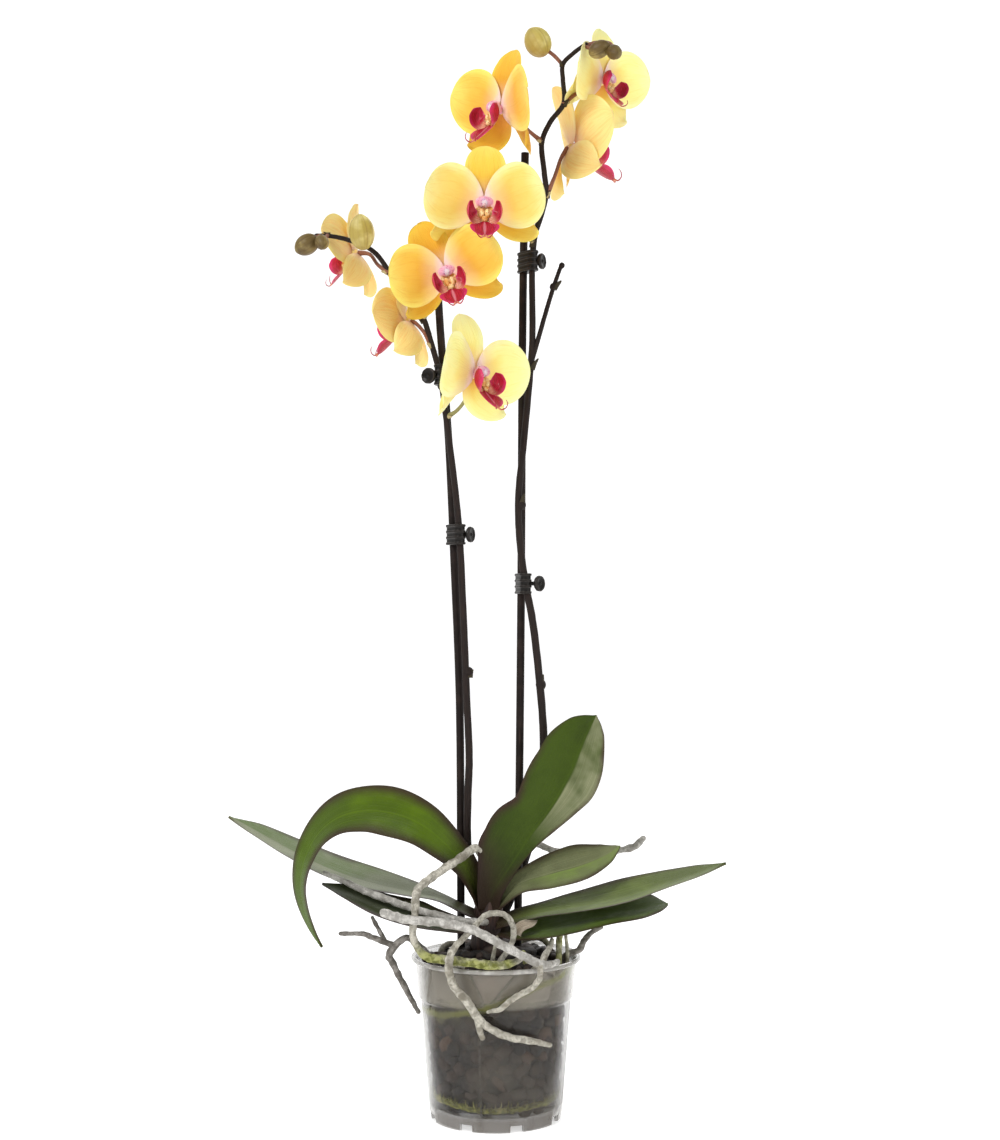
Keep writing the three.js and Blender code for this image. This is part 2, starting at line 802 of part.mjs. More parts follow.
// The outline of a blade cut across its midrib: over the face from side to side, back underneath.
function bladeRing(station, along, style) {
  const face = vec(station.face).addScaledVector(along, -vec(station.face).dot(along)).normalize();
  const side = along.clone().cross(face);
  const points = [];
  const put = (share, sign) => {
    const half = share < 0 ? station.half[0] : station.half[1];
    const bulge = style.edge + (style.middle - style.edge) * (1 - share * share);
    const lift = half * Math.sin(rad(station.fold)) * Math.abs(share) ** style.crease;
    points.push(
      vec(station.at)
        .addScaledVector(side, share * half * Math.cos(rad(station.fold)))
        .addScaledVector(face, lift + (sign * bulge) / 2),
    );
  };
  put(-1, 0);
  for (let column = 1; column < style.columns; column += 1) {
    put(-1 + (2 * column) / style.columns, 1);
  }
  put(1, 0);
  for (let column = style.columns - 1; column > 0; column -= 1) {
    put(-1 + (2 * column) / style.columns, -1);
  }
  return points;
}

// A blade through stations that lie on a smooth midline.
function blade(stations, style, matrix = null) {
  const midline = new THREE.CatmullRomCurve3(
    stations.map((station) => vec(station.at)),
    false,
    "centripetal",
  );
  const last = stations.length - 1;
  const sections = stations.map((station, index) =>
    bladeRing(station, midline.getTangent(index / last), style),
  );
  return loftThrough(sections, matrix);
}

// Takes away what lies within the gap of the other pieces and keeps the largest body left.
function clearOf(solid, others) {
  const bead = Manifold.sphere(GAP, 4);
  let left = solid;
  for (const other of others) {
    const a = left.boundingBox();
    const b = other.solid.boundingBox();
    const apart = [0, 1, 2].some((i) => a.min[i] > b.max[i] + NEAR || b.min[i] > a.max[i] + NEAR);
    if (apart) continue;
    other.grown ??= other.solid.minkowskiSum(bead);
    left = left.subtract(other.grown);
  }
  const bodies = left.simplify(TIDY).decompose();
  bodies.sort((a, b) => b.volume() - a.volume());
  return bodies[0];
}

const pieces = [];
function place(name, solid, look, trimmed = true) {
  const kept = trimmed ? clearOf(solid, pieces) : solid;
  pieces.push({ name, solid: kept, look });
}

function turnedWall(profile) {
  return solidOf(
    new THREE.LatheGeometry(
      profile.map(([radius, height]) => new THREE.Vector2(radius, height)),
      POT_SEGMENTS,
    ).rotateX(Math.PI / 2),
  );
}

function pot() {
  const cuts = [];
  for (let index = 0; index < NOTCH_COUNT; index += 1) {
    const turn = rad(NOTCH_FIRST + (360 * index) / NOTCH_COUNT);
    const notch = new THREE.BoxGeometry(NOTCH_REACH, NOTCH_WIDTH, 2 * NOTCH_HEIGHT);
    notch.translate(FOOT_RADIUS, 0, 0).rotateZ(turn);
    cuts.push(solidOf(notch));
  }
  return turnedWall(POT_PROFILE).subtract(Manifold.union(cuts));
}

function growingMedium() {
  const chips = CHIPS.map(({ at, half, turn }) =>
    solidOf(
      new THREE.IcosahedronGeometry(1, 0)
        .scale(...half)
        .rotateZ(rad(turn))
        .translate(...at),
    ),
  );
  return Manifold.union([turnedWall(MEDIUM_PROFILE), ...chips]);
}

function joint({ at, radius }) {
  const swelling = new THREE.SphereGeometry(radius, JOINT_SIDES, JOINT_RINGS);
  swelling.rotateX(Math.PI / 2).scale(1, 1, JOINT_SQUASH);
  return solidOf(swelling.translate(...at));
}

function clip({ stake, stem, z, knob, normal }) {
  const sleeve = (height, level, proud) => {
    const post = ([x, y], radius) =>
      solidOf(
        new THREE.CylinderGeometry(radius, radius, height, CLIP_SIDES)
          .rotateX(Math.PI / 2)
          .translate(x, y, level),
      );
    return Manifold.hull([
      post(stake, STAKE_RADIUS + CLIP_WALL + proud),
      post(stem, STEM_REACH + CLIP_WALL + proud),
    ]);
  };
  const parts = [sleeve(CLIP_HEIGHT, z, 0)];
  const pitch = (CLIP_HEIGHT - CLIP_BAND_HEIGHT) / (CLIP_BANDS - 1);
  for (let band = 0; band < CLIP_BANDS; band += 1) {
    const level = z - CLIP_HEIGHT / 2 + CLIP_BAND_HEIGHT / 2 + pitch * band;
    parts.push(sleeve(CLIP_BAND_HEIGHT, level, CLIP_BAND_PROUD));
  }
  const out = vec(normal).normalize();
  const centre = vec(knob);
  const back = centre.clone().addScaledVector(out, -KNOB_THICK / 2).toArray();
  const front = centre.clone().addScaledVector(out, KNOB_THICK / 2).toArray();
  const root = [stem[0], stem[1], knob[2]];
  parts.push(bar([back, front], [KNOB_RADIUS, KNOB_RADIUS], KNOB_SIDES, 1));
  parts.push(bar([root, knob], [NECK_RADIUS, NECK_RADIUS], NECK_SIDES, 1));
  return Manifold.union(parts);
}

function halfWidth(share, { half, widest, fullness }) {
  if (share < widest) {
    const back = (widest - share) / (widest + FOOT_BACK);
    return half * (1 - back * back) ** fullness;
  }
  const past = ((share - widest) / (1 - widest)) * (1 - BLUNT_TIP);
  return half * Math.sqrt(1 - past * past);
}

function tepal(kind, angle, matrix) {
  const style = { ...TEPAL_STYLE, columns: kind.columns };
  const across = Math.cos(rad(angle));
  const along = Math.sin(rad(angle));
  const lean = rad(kind.lean);
  const inward = across > 0 ? -1 : 1;
  const stations = TEPAL_STEPS.map((share) => {
    const out = kind.start + kind.reach * share;
    const half = halfWidth(share, kind);
    const rise = kind.plane + kind.sweep * share * share - half * Math.sin(lean);
    return {
      at: [out * across, out * along, rise],
      face: [-along * inward * Math.sin(lean), across * inward * Math.sin(lean), Math.cos(lean)],
      half: [half, half],
      fold: kind.fold,
    };
  });
  return blade(stations, style, matrix);
}

function flowerMatrix({ centre, facing, size }, roll = 0) {
  const front = vec(facing).normalize();
  const up = new THREE.Vector3(0, 0, 1).addScaledVector(front, -front.z).normalize();
  up.applyAxisAngle(front, rad(roll));
  const right = up.clone().cross(front);
  const turned = new THREE.Matrix4().makeBasis(right, up, front).setPosition(...centre);
  return turned.scale(new THREE.Vector3(size, size, size));
}

function sepals(flower) {
  const matrix = flowerMatrix(flower);
  const [upper, ...lower] = flower.sepals;
  const end = new THREE.Vector3(0, 0, -HUB_BACK).applyMatrix4(matrix).toArray();
  const route = [...flower.stalk, end];
  return Manifold.union([
    tepal(DORSAL_SEPAL, upper, matrix),
    ...lower.map((angle) => tepal(LATERAL_SEPAL, angle, matrix)),
    bar(HUB_ROUTE, HUB_RADII, COLUMN_SIDES, 1, matrix),
    bar(route, taper(route, STALK_TAPER), STALK_SIDES, 1),
  ]);
}

function petals(flower) {
  const matrix = flowerMatrix(flower);
  const column = bar(COLUMN_ROUTE, COLUMN_RADII, COLUMN_SIDES, 1, flowerMatrix(flower, flower.roll));
  return Manifold.union([...flower.petals.map((angle) => tepal(PETAL, angle, matrix)), column]);
}

function lip(flower) {
  const matrix = flowerMatrix(flower, flower.roll);
  const mirrored = LIP_SIDE.map(({ at, face, half, fold }) => ({
    at: [-at[0], at[1], at[2]],
    face: [-face[0], face[1], face[2]],
    half: [half[1], half[0]],
    fold,
  }));
  const callus = new THREE.IcosahedronGeometry(CALLUS.radius, 0).translate(...CALLUS.at);
  return Manifold.union([
    blade(LIP_MIDDLE, LIP_STYLE, matrix),
    blade(LIP_SIDE, LIP_STYLE, matrix),
    blade(mirrored, LIP_STYLE, matrix),
    solidOf(callus.applyMatrix4(matrix)),
  ]);
}

function bud({ at, along, half, stalk }) {
  const egg = new THREE.SphereGeometry(1, BUD_SIDES, BUD_RINGS);
  const turn = new THREE.Quaternion();
  turn.setFromUnitVectors(new THREE.Vector3(0, 1, 0), vec(along).normalize());
  egg.scale(half[0], half[1], half[0]).applyQuaternion(turn).translate(...at);
  const route = [...stalk, at];
  return Manifold.union([solidOf(egg), bar(route, taper(route, BUD_STALK_TAPER), STALK_SIDES, 1)]);
}

place("pot", pot(), LOOKS.pot, false);
for (const [name, route] of Object.entries(STAKES)) {
  place(name, bar(route, taper(route, [STAKE_RADIUS, STAKE_RADIUS]), STAKE_SIDES, 1), LOOKS.stake);
}
place("crown_stem", bar(CROWN_ROUTE, CROWN_RADII, CROWN_SIDES), LOOKS.crown);
place("growing_medium", growingMedium(), LOOKS.bark);

const leftSpike = Manifold.union([
  bar(SPIKE_LEFT, taper(SPIKE_LEFT, SPIKE_LEFT_TAPER), SPIKE_SIDES, 1),
  ...LEFT_JOINTS.map(joint),
]);
place("flower_spike_left", leftSpike, LOOKS.spike);
const rightSpike = Manifold.union([
  bar(SPIKE_RIGHT, taper(SPIKE_RIGHT, SPIKE_RIGHT_TAPER), SPIKE_SIDES, 1),
  bar(SIDE_SHOOT, taper(SIDE_SHOOT, SIDE_SHOOT_TAPER), SPIKE_SIDES, 1),
  ...RIGHT_JOINTS.map(joint),
]);
place("flower_spike_right", rightSpike, LOOKS.spike);
CLIPS.forEach((entry, index) => {
  place("stake_clip_" + (index + 1), clip(entry), LOOKS.clip);
});

for (const [name, leaf] of Object.entries(LEAVES)) {
  place(name, blade(leaf.stations, LEAF_STYLE), leaf.look);
}
for (const [name, root] of Object.entries(ROOTS)) {
  const runs = root.runs.map(({ route, radii }) => bar(route, radii, ROOT_SIDES, 1));
  place(name, Manifold.union(runs), root.look);
}
FLOWERS.forEach((flower, index) => {
  const name = "flower_" + (index + 1);
  place(name + "_sepals", sepals(flower), LOOKS.sepalGolden);
  place(name + "_petals", petals(flower), flower.look);
  place(name + "_lip", lip(flower), LOOKS.lip);
});
BUDS.forEach((entry, index) => {
  place("bud_" + (index + 1), bud(entry), entry.look);
});

const plant = new THREE.Group();
for (const piece of pieces) {
  const material = new THREE.MeshStandardMaterial({ ...piece.look, metalness: 0 });
  const mesh = new THREE.Mesh(geometryOf(piece.solid), material);
  mesh.name = piece.name;
  mesh.geometry.translate(POT_AXIS[0], POT_AXIS[1], 0);
  plant.add(mesh);
}

export default plant;
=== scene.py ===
# A moth orchid in its clear pot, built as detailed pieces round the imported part.
# Tables hold millimetres measured from the pot's own axis, with +X to the right, -Y to the
# front and +Z up. placed() turns such a point into the frame's metres.
import math
import random
from collections import namedtuple

import bmesh
import bpy
from mathutils import Matrix, Quaternion, Vector, noise


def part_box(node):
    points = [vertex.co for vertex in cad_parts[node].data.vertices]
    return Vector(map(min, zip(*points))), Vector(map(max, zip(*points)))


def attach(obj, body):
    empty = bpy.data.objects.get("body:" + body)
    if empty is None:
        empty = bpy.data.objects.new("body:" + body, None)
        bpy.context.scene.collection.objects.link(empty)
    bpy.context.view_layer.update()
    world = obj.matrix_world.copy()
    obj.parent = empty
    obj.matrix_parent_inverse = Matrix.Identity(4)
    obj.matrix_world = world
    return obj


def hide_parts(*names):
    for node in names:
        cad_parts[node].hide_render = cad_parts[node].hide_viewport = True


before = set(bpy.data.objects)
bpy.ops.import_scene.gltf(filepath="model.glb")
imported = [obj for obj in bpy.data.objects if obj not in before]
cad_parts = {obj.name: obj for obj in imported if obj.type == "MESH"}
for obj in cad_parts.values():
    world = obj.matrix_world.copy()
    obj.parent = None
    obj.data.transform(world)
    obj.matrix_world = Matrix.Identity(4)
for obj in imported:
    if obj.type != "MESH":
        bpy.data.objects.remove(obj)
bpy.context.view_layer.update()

bpy.context.scene.view_settings.view_transform = "Standard"

MM = 0.001
POT_LOW, POT_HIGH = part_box("pot")
POT_AXIS = Vector(((POT_LOW.x + POT_HIGH.x) / 2, (POT_LOW.y + POT_HIGH.y) / 2, 0))


def placed(point):
    """A point in millimetres from the pot's axis, as a place in the frame."""
    return POT_AXIS + Vector(point) * MM


def add_to_scene(name, data):
    thing = bpy.data.objects.new(name, data)
    bpy.context.scene.collection.objects.link(thing)
    return thing


def put_and_aim(thing, place, aim):
    thing.location = placed(place)
    looks = placed(aim) - thing.location
    thing.rotation_euler = looks.to_track_quat("-Z", "Y").to_euler()


# Camera

CAMERA_PLACE = (2.9, -1250, 350)
CAMERA_AIM = (2.9, 0, 385.7)
CAMERA_LENS = 55.3


def add_camera():
    data = bpy.data.cameras.new("camera")
    data.lens = CAMERA_LENS
    data.clip_start = 0.05
    data.clip_end = 20
    camera = add_to_scene("camera", data)
    put_and_aim(camera, CAMERA_PLACE, CAMERA_AIM)
    bpy.context.scene.camera = camera


add_camera()


# Curves through given points


def span(values, share):
    """The number of the stretch that a share of the way falls in, and how far along it that is."""
    last = len(values) - 1
    index = min(int(share * last), last - 1)
    return index, share * last - index


def cubic(start, end, leave, arrive, step):
    bend = (end - start) * 3 - leave * 2 - arrive
    twist = (start - end) * 2 + leave + arrive
    return start + leave * step + bend * step**2 + twist * step**3


def curve_point(points, share):
    """A point on the centripetal curve through points, for a share of the way from 0 to 1."""
    index, step = span(points, share)
    start, end = points[index], points[index + 1]
    before = points[index - 1] if index > 0 else start * 2 - end
    after = points[index + 2] if index < len(points) - 2 else end * 2 - start
    near = max((start - before).length, 1e-6) ** 0.5
    middle = max((end - start).length, 1e-6) ** 0.5
    far = max((after - end).length, 1e-6) ** 0.5
    leave = (start - before) / near - (end - before) / (near + middle) + (end - start) / middle
    arrive = (end - start) / middle - (after - start) / (middle + far) + (after - end) / far
    return cubic(start, end, leave * middle, arrive * middle, step)


def curve_value(values, share):
    """A number or direction taken smoothly from a list that is spread evenly from 0 to 1."""
    index, step = span(values, share)
    start, end = values[index], values[index + 1]
    before = values[max(index - 1, 0)]
    after = values[min(index + 2, len(values) - 1)]
    return cubic(start, end, (end - before) * 0.5, (after - start) * 0.5, step)


def ease(low, high, value):
    """0 up to low, 1 from high, and a smooth step between them."""
    share = min(max((value - low) / (high - low), 0), 1)
    return share * share * (3 - 2 * share)


def spread(count):
    """Shares from 0 to 1 in count equal steps."""
    return [step / count for step in range(count + 1)]


# Shapes


class Shape:
    """Points, faces and painted values of one piece while it is being made.

    Each point carries three painted values, mostly how far along and how far across its part
    it lies and which side it is on, and each face the number of its material.
    """

    def __init__(self):
        self.points = []
        self.paint = []
        self.faces = []
        self.looks = []

    def skin(self, rings, paints, look=0, capped=True):
        """Joins rings of points from the first to the last."""
        size = len(rings[0])
        first = len(self.points)
        for ring, ring_paint in zip(rings, paints):
            self.points += ring
            self.paint += ring_paint
        for row in range(len(rings) - 1):
            for column in range(size):
                a = first + row * size + column
                b = first + row * size + (column + 1) % size
                self.faces.append((a, b, b + size, a + size))
        if capped:
            top = len(self.points) - size
            self.faces.append(tuple(range(first, first + size)))
            self.faces.append(tuple(range(top, top + size)))
        self.looks += [look] * (len(self.faces) - len(self.looks))


DOME = (12, 35, 62)


def dome(end, inner):
    """The rings that round off the end of a bar, from its tip inwards."""
    centre, radius, share = end
    out = (centre - inner[0]).normalized()
    rings = []
    for angle in DOME:
        turn = math.radians(angle)
        rings.append((centre + out * radius * math.cos(turn), radius * math.sin(turn), share))
    return rings


def tube(shape, route, radii, sides=16, steps=6, look=0, tone=None, rough=0.0, grain=0.25, domed=True):
    """A round bar through the route, with domed ends unless they are cut flat.

    tone is a function from the share along the bar to its third painted value, rough is how
    much the radius wanders and grain how quickly it does.
    """
    points = [Vector(point) for point in route]
    stops = []
    for share in spread((len(points) - 1) * steps):
        stops.append((curve_point(points, share), curve_value(radii, share), share))
    if domed:
        stops = dome(stops[0], stops[1]) + stops + dome(stops[-1], stops[-2])[::-1]
    across = Vector((0, 1, 0.3))
    rings, paints = [], []
    for index, (centre, radius, share) in enumerate(stops):
        along = (stops[min(index + 1, len(stops) - 1)][0] - stops[max(index - 1, 0)][0]).normalized()
        across = (across - along * across.dot(along)).normalized()
        other = along.cross(across)
        value = tone(share) if tone else 0.0
        ring, ring_paint = [], []
        for side in range(sides):
            angle = 2 * math.pi * side / sides
            way = across * math.cos(angle) + other * math.sin(angle)
            lump = noise.noise(centre * grain + way * 0.8) if rough else 0
            ring.append(centre + way * radius * (1 + rough * lump))
            ring_paint.append((share, side / sides, value))
        rings.append(ring)
        paints.append(ring_paint)
    shape.skin(rings, paints, look)


def root_run(shape, run, **settings):
    """A bar through points that carry their own radius as a fourth number."""
    tube(shape, [point[:3] for point in run], [float(point[3]) for point in run], **settings)


def blade(shape, stations, columns, middle, edge, crease, look=0, ripple=None, tone=0.0):
    """A thin blade through closely spaced stations (centre, face, left and right half, fold).

    middle and edge are its thickness at the midrib and the rim, crease how sharply it folds,
    and ripple a function of the shares along and across that lifts the surface a little.
    """
    rings, paints = [], []
    last = len(stations) - 1
    for index, (centre, face, halves, fold) in enumerate(stations):
        along = (stations[min(index + 1, last)][0] - stations[max(index - 1, 0)][0]).normalized()
        up = (face - along * face.dot(along)).normalized()
        side = along.cross(up)
        tilt = math.radians(fold)
        share = index / last
        over, under = [], []
        over_paint, under_paint = [], []
        for column in range(columns + 1):
            where = math.sin(math.pi / 2 * (-1 + 2 * column / columns))
            half = halves[0] if where < 0 else halves[1]
            bulge = edge + (middle - edge) * (1 - where * where)
            rim = math.sqrt(max(1 - where**6, 0))
            lift = half * math.sin(tilt) * abs(where) ** crease
            if ripple:
                lift += ripple(share, where)
            spot = centre + side * (where * half * math.cos(tilt)) + up * lift
            over.append(spot + up * (bulge * rim / 2))
            under.append(spot - up * (bulge * rim / 2))
            over_paint.append((share, where, 1.0 + tone))
            under_paint.append((share, where, -1.0 - tone))
        rings.append(over + under[-2:0:-1])
        paints.append(over_paint + under_paint[-2:0:-1])
    shape.skin(rings, paints, look)


NARROWEST = 0.6


def resampled(entries, rows, drawn_from, mirror=False):
    """Closely spaced stations through a few given ones, mirrored in X if asked.

    From the share drawn_from on, the blade draws in to a rounded tip.
    """
    sign = -1 if mirror else 1
    flip = Vector((sign, 1, 1))
    centres = [Vector(centre) * flip for centre, face, halves, fold in entries]
    faces = [(Vector(face) * flip).normalized() for centre, face, halves, fold in entries]
    lefts, rights = [[float(entry[2][side]) for entry in entries] for side in (0, 1)[::sign]]
    folds = [float(entry[3]) for entry in entries]
    stations = []
    for share in spread(rows):
        drawn = math.sqrt(max(1 - ease(drawn_from, 1.0, share) ** 2, 0.004))
        halves = [max(curve_value(values, share), NARROWEST) * drawn for values in (lefts, rights)]
        centre = curve_point(centres, share)
        stations.append((centre, curve_value(faces, share), halves, curve_value(folds, share)))
    return stations


def ball(shape, centre, half, turn=None, sides=20, rows=14, look=0, wobble=None, tone=0.0):
    """A rounded body with its own Z as the long way, turned by turn; wobble scales each point."""
    rings, paints = [], []
    for row in range(1, rows):
        dip = math.pi * row / rows
        ring, ring_paint = [], []
        for side in range(sides):
            angle = 2 * math.pi * side / sides
            way = Vector((math.sin(dip) * math.cos(angle), math.sin(dip) * math.sin(angle), math.cos(dip)))
            if wobble:
                way = way * wobble(way, angle, dip)
            point = Vector((way.x * half[0], way.y * half[1], way.z * half[2]))
            if turn:
                point.rotate(turn)
            ring.append(Vector(centre) + point)
            ring_paint.append((row / rows, side / sides, tone))
        rings.append(ring)
        paints.append(ring_paint)
    shape.skin(rings, paints, look)


def upright_to(direction):
    """The turn that brings +Z to a direction."""
    return Vector((0, 0, 1)).rotation_difference(Vector(direction).normalized())


def make_piece(name, shape, finishes, replaced=()):
    """Turns a shape in millimetres into an object that rides on the plant."""
    mesh = bpy.data.meshes.new(name)
    mesh.from_pydata([placed(point) for point in shape.points], [], shape.faces)
    paint = mesh.attributes.new("paint", "FLOAT_VECTOR", "POINT")
    paint.data.foreach_set("vector", [value for values in shape.paint for value in values])
    for finish in finishes:
        mesh.materials.append(finish.material)
    mesh.polygons.foreach_set("material_index", shape.looks)
    mesh.polygons.foreach_set("use_smooth", [True] * len(shape.faces))
    surface = bmesh.new()
    surface.from_mesh(mesh)
    bmesh.ops.recalc_face_normals(surface, faces=surface.faces)
    surface.to_mesh(mesh)
    surface.free()
    piece = add_to_scene(name, mesh)
    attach(piece, "root")
    if replaced:
        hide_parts(*replaced)


# Materials

NOISE_ROUGHNESS = 0.55


class Value:
    """An output of a node. Arithmetic on it adds Math nodes to the same material."""

    def __init__(self, finish, socket):
        self.finish = finish
        self.socket = socket

    def __add__(self, other):
        return self.finish.math("ADD", self, other)

    def __sub__(self, other):
        return self.finish.math("SUBTRACT", self, other)

    def __mul__(self, other):
        return self.finish.math("MULTIPLY", self, other)

    def __abs__(self):
        return self.finish.math("ABSOLUTE", self)

    def step(self, low, high, start=0.0, end=1.0):
        """Runs smoothly from start to end while this value goes from low to high."""
        values = (self, low, high, start, end)
        return self.finish.add("ShaderNodeMapRange", values, interpolation_type="SMOOTHSTEP")

    def mix(self, one, other):
        """The colour that goes from one to the other with this value."""
        return self.finish.mix(self, one, other)


class Finish:
    """One material and short ways of adding nodes to it."""

    def __init__(self, name, roughness, **sockets):
        self.material = bpy.data.materials.new(name)
        self.material.use_nodes = True
        self.tree = self.material.node_tree
        self.shader = self.tree.nodes["Principled BSDF"]
        self.shader.inputs["Roughness"].default_value = roughness
        for socket, value in sockets.items():
            self.shader.inputs[socket.replace("_", " ")].default_value = value
        self.place = self.add("ShaderNodeTexCoord", output="Object")
        painted = self.add("ShaderNodeAttribute", output="Vector", attribute_name="paint")
        self.along, self.across, self.third = self.split(painted)

    def node(self, kind, values=(), **settings):
        """A new node with its settings and values for its first inputs."""
        node = self.tree.nodes.new(kind)
        for setting, value in settings.items():
            setattr(node, setting, value)
        for socket, value in zip(node.inputs, values):
            self.feed(socket, value)
        return node

    def add(self, kind, values=(), output=0, **settings):
        """Adds a node and gives back one of its outputs."""
        return Value(self, self.node(kind, values, **settings).outputs[output])

    def feed(self, socket, value):
        """Links a value to a socket, or sets the socket to a plain number or colour."""
        if isinstance(value, Value):
            self.tree.links.new(value.socket, socket)
        elif socket.type == "RGBA":
            socket.default_value = (*value, 1)
        else:
            socket.default_value = value

    def math(self, operation, *values):
        return self.add("ShaderNodeMath", values, operation=operation)

    def mix(self, share, one, other):
        node = self.node("ShaderNodeMix", data_type="RGBA")
        for number, value in ((0, share), (6, one), (7, other)):
            self.feed(node.inputs[number], value)
        return Value(self, node.outputs[2])

    def split(self, vector):
        return [Value(self, output) for output in self.node("ShaderNodeSeparateXYZ", (vector,)).outputs]

    def stretched(self, scale):
        """The place on the piece, scaled by its own amount along each axis."""
        node = self.node("ShaderNodeMapping", (self.place,))
        node.inputs["Scale"].default_value = scale
        return Value(self, node.outputs[0])

    def cloud(self, scale, detail, vector=None, warp=0.0):
        node = self.node("ShaderNodeTexNoise")
        values = {"Vector": vector or self.place, "Scale": scale, "Detail": detail}
        values |= {"Roughness": NOISE_ROUGHNESS, "Distortion": warp}
        for name, value in values.items():
            self.feed(node.inputs[name], value)
        return Value(self, node.outputs[0])

    def wander(self, scale, detail, amount):
        """Noise that goes both ways from zero."""
        return (self.cloud(scale, detail) - 0.5) * amount

    def lines(self, scale, detail, along, across, third=0.0):
        """Noise drawn out by the painted directions of a part: veins, fibres or streaks."""
        vector = self.add("ShaderNodeCombineXYZ", (self.along * along, self.across * across, third))
        return self.cloud(scale, detail, vector)

    def cells(self, scale, feature="F1"):
        node = self.node("ShaderNodeTexVoronoi", (self.place,), feature=feature)
        node.inputs["Scale"].default_value = scale
        return Value(self, node.outputs["Distance"])

    def colour(self, value):
        self.feed(self.shader.inputs["Base Color"], value)

    def rough(self, value):
        self.feed(self.shader.inputs["Roughness"], value)

    def alpha(self, value):
        self.feed(self.shader.inputs["Alpha"], value)

    def bump(self, height, distance):
        """Raises the surface by a height from 0 to 1 times a distance in metres."""
        node = self.node("ShaderNodeBump")
        node.inputs["Distance"].default_value = distance
        node.inputs["Strength"].default_value = 1.0
        self.feed(node.inputs["Height"], height)
        self.tree.links.new(node.outputs[0], self.shader.inputs["Normal"])


def scaled(colour, factor):
    return tuple(min(channel * factor, 1) for channel in colour)


def glossy_over(finish, roughness, least, most):
    """Lays a mirror-like skin over a finish, stronger where the surface turns away."""
    gloss = finish.node("ShaderNodeBsdfAnisotropic")
    gloss.inputs["Roughness"].default_value = roughness
    facing = finish.add("ShaderNodeLayerWeight", output="Facing")
    layers = [Value(finish, node.outputs[0]) for node in (finish.shader, gloss)]
    blend = finish.add("ShaderNodeMixShader", (facing.step(0.45, 1.0, least, most), *layers))
    finish.feed(finish.tree.nodes["Material Output"].inputs["Surface"], blend)
    return facing


# Where the line of algae lies on the wall, in metres of the frame: its height at ALGAE_LEFT
# left of the origin, its slope, and how much steeper it is to the right of ALGAE_TURN.
ALGAE_HEIGHT = 0.0775
ALGAE_LEFT = 0.029
ALGAE_SLOPE = 0.2
ALGAE_TURN = 0.005
ALGAE_MORE = 0.17


def clear_plastic():
    """Hazy pot plastic: a line of algae, grime, drips, a milky foot and a painted pale reflection at the
    edges.
    """
    finish = Finish("clear_plastic", 0.15, IOR=1.49, Specular_IOR_Level=0.15)
    x, y, z = finish.split(finish.place)
    # edge is where the wall is seen at a slant; it carries the painted reflection below.
    edge = glossy_over(finish, 0.09, 0.015, 0.5).step(0.62, 0.97)
    patches = finish.cloud(38, 5)
    drips = finish.cloud(90, 3, finish.stretched((1, 1, 0.05))).step(0.5, 0.75)
    middle = (x + ALGAE_LEFT) * ALGAE_SLOPE + ALGAE_HEIGHT + finish.wander(45, 4, 0.01)
    middle += finish.math("MAXIMUM", x - ALGAE_TURN, 0.0) * ALGAE_MORE
    away = abs(z - middle)
    line = away.step(0.0006, 0.004, 1.0, 0.0) * patches.step(0.3, 0.55, 0.6, 1.0)
    stain = away.step(0.001, 0.014, 0.5, 0.0) * finish.cloud(70, 4).step(0.48, 0.66)
    algae = finish.math("MAXIMUM", line, stain)
    grime = finish.cloud(24, 6).step(0.42, 0.72)
    upper = z.step(0.083, 0.087)
    foot = z.step(0.006, 0.013, 1.0, 0.0)
    haze = grime.mix((0.06, 0.052, 0.038), (0.16, 0.142, 0.115))
    haze = (upper * 0.8).mix(haze, (0.38, 0.35, 0.285))
    haze = foot.mix(haze, (0.15, 0.132, 0.112))
    # Painted reflection: the wall turns pale, and further down more opaque, where it is seen at a slant.
    haze = edge.mix(haze, (0.74, 0.72, 0.69))
    finish.colour(algae.mix(haze, (0.17, 0.17, 0.06)))
    cover = grime * 0.16 + 0.08 + drips * 0.12 + upper * 0.2 + foot * 0.45 + algae * 0.5 + edge * 0.6
    finish.alpha(finish.math("MINIMUM", cover, 0.95))
    finish.rough(patches.step(0.3, 0.7, 0.12, 0.35))
    finish.bump(finish.cloud(70, 2), 0.0002)
    return finish


def rim_plastic():
    """The thick rolled rim, milkier than the wall."""
    finish = Finish("rim_plastic", 0.2, IOR=1.49)
    glossy_over(finish, 0.12, 0.05, 0.5)
    marks = finish.cloud(60, 5).step(0.4, 0.7)
    soiled = finish.cloud(28, 5).step(0.56, 0.7, 0.0, 0.6)
    pale = marks.mix((0.50, 0.48, 0.44), (0.80, 0.78, 0.75))
    finish.colour(soiled.mix(pale, (0.36, 0.36, 0.16)))
    finish.alpha(marks.step(0, 1, 0.5, 0.78))
    finish.rough(marks.step(0, 1, 0.15, 0.32))
    finish.bump(finish.cloud(300, 3), 0.00005)
    return finish


def bark():
    """Flakes of bark, each of its own brown, with a split and fibrous surface."""
    finish = Finish("bark", 0.85)
    fibres = finish.cloud(160, 6, finish.stretched((1, 1, 0.35)), warp=0.6)
    flake = finish.third.step(0.3, 0.7).mix((0.014, 0.01, 0.008), (0.034, 0.02, 0.014))
    flake = finish.third.step(0.9, 0.96).mix(flake, (0.085, 0.05, 0.032))
    worn = fibres.step(0.48, 0.78).mix(flake, (0.07, 0.052, 0.04))
    finish.colour(finish.cloud(45, 3).step(0.6, 0.75, 0, 0.5).mix(worn, (0.075, 0.068, 0.055)))
    finish.rough(fibres.step(0.3, 0.8, 0.7, 0.95))
    finish.bump(fibres, 0.0012)
    return finish


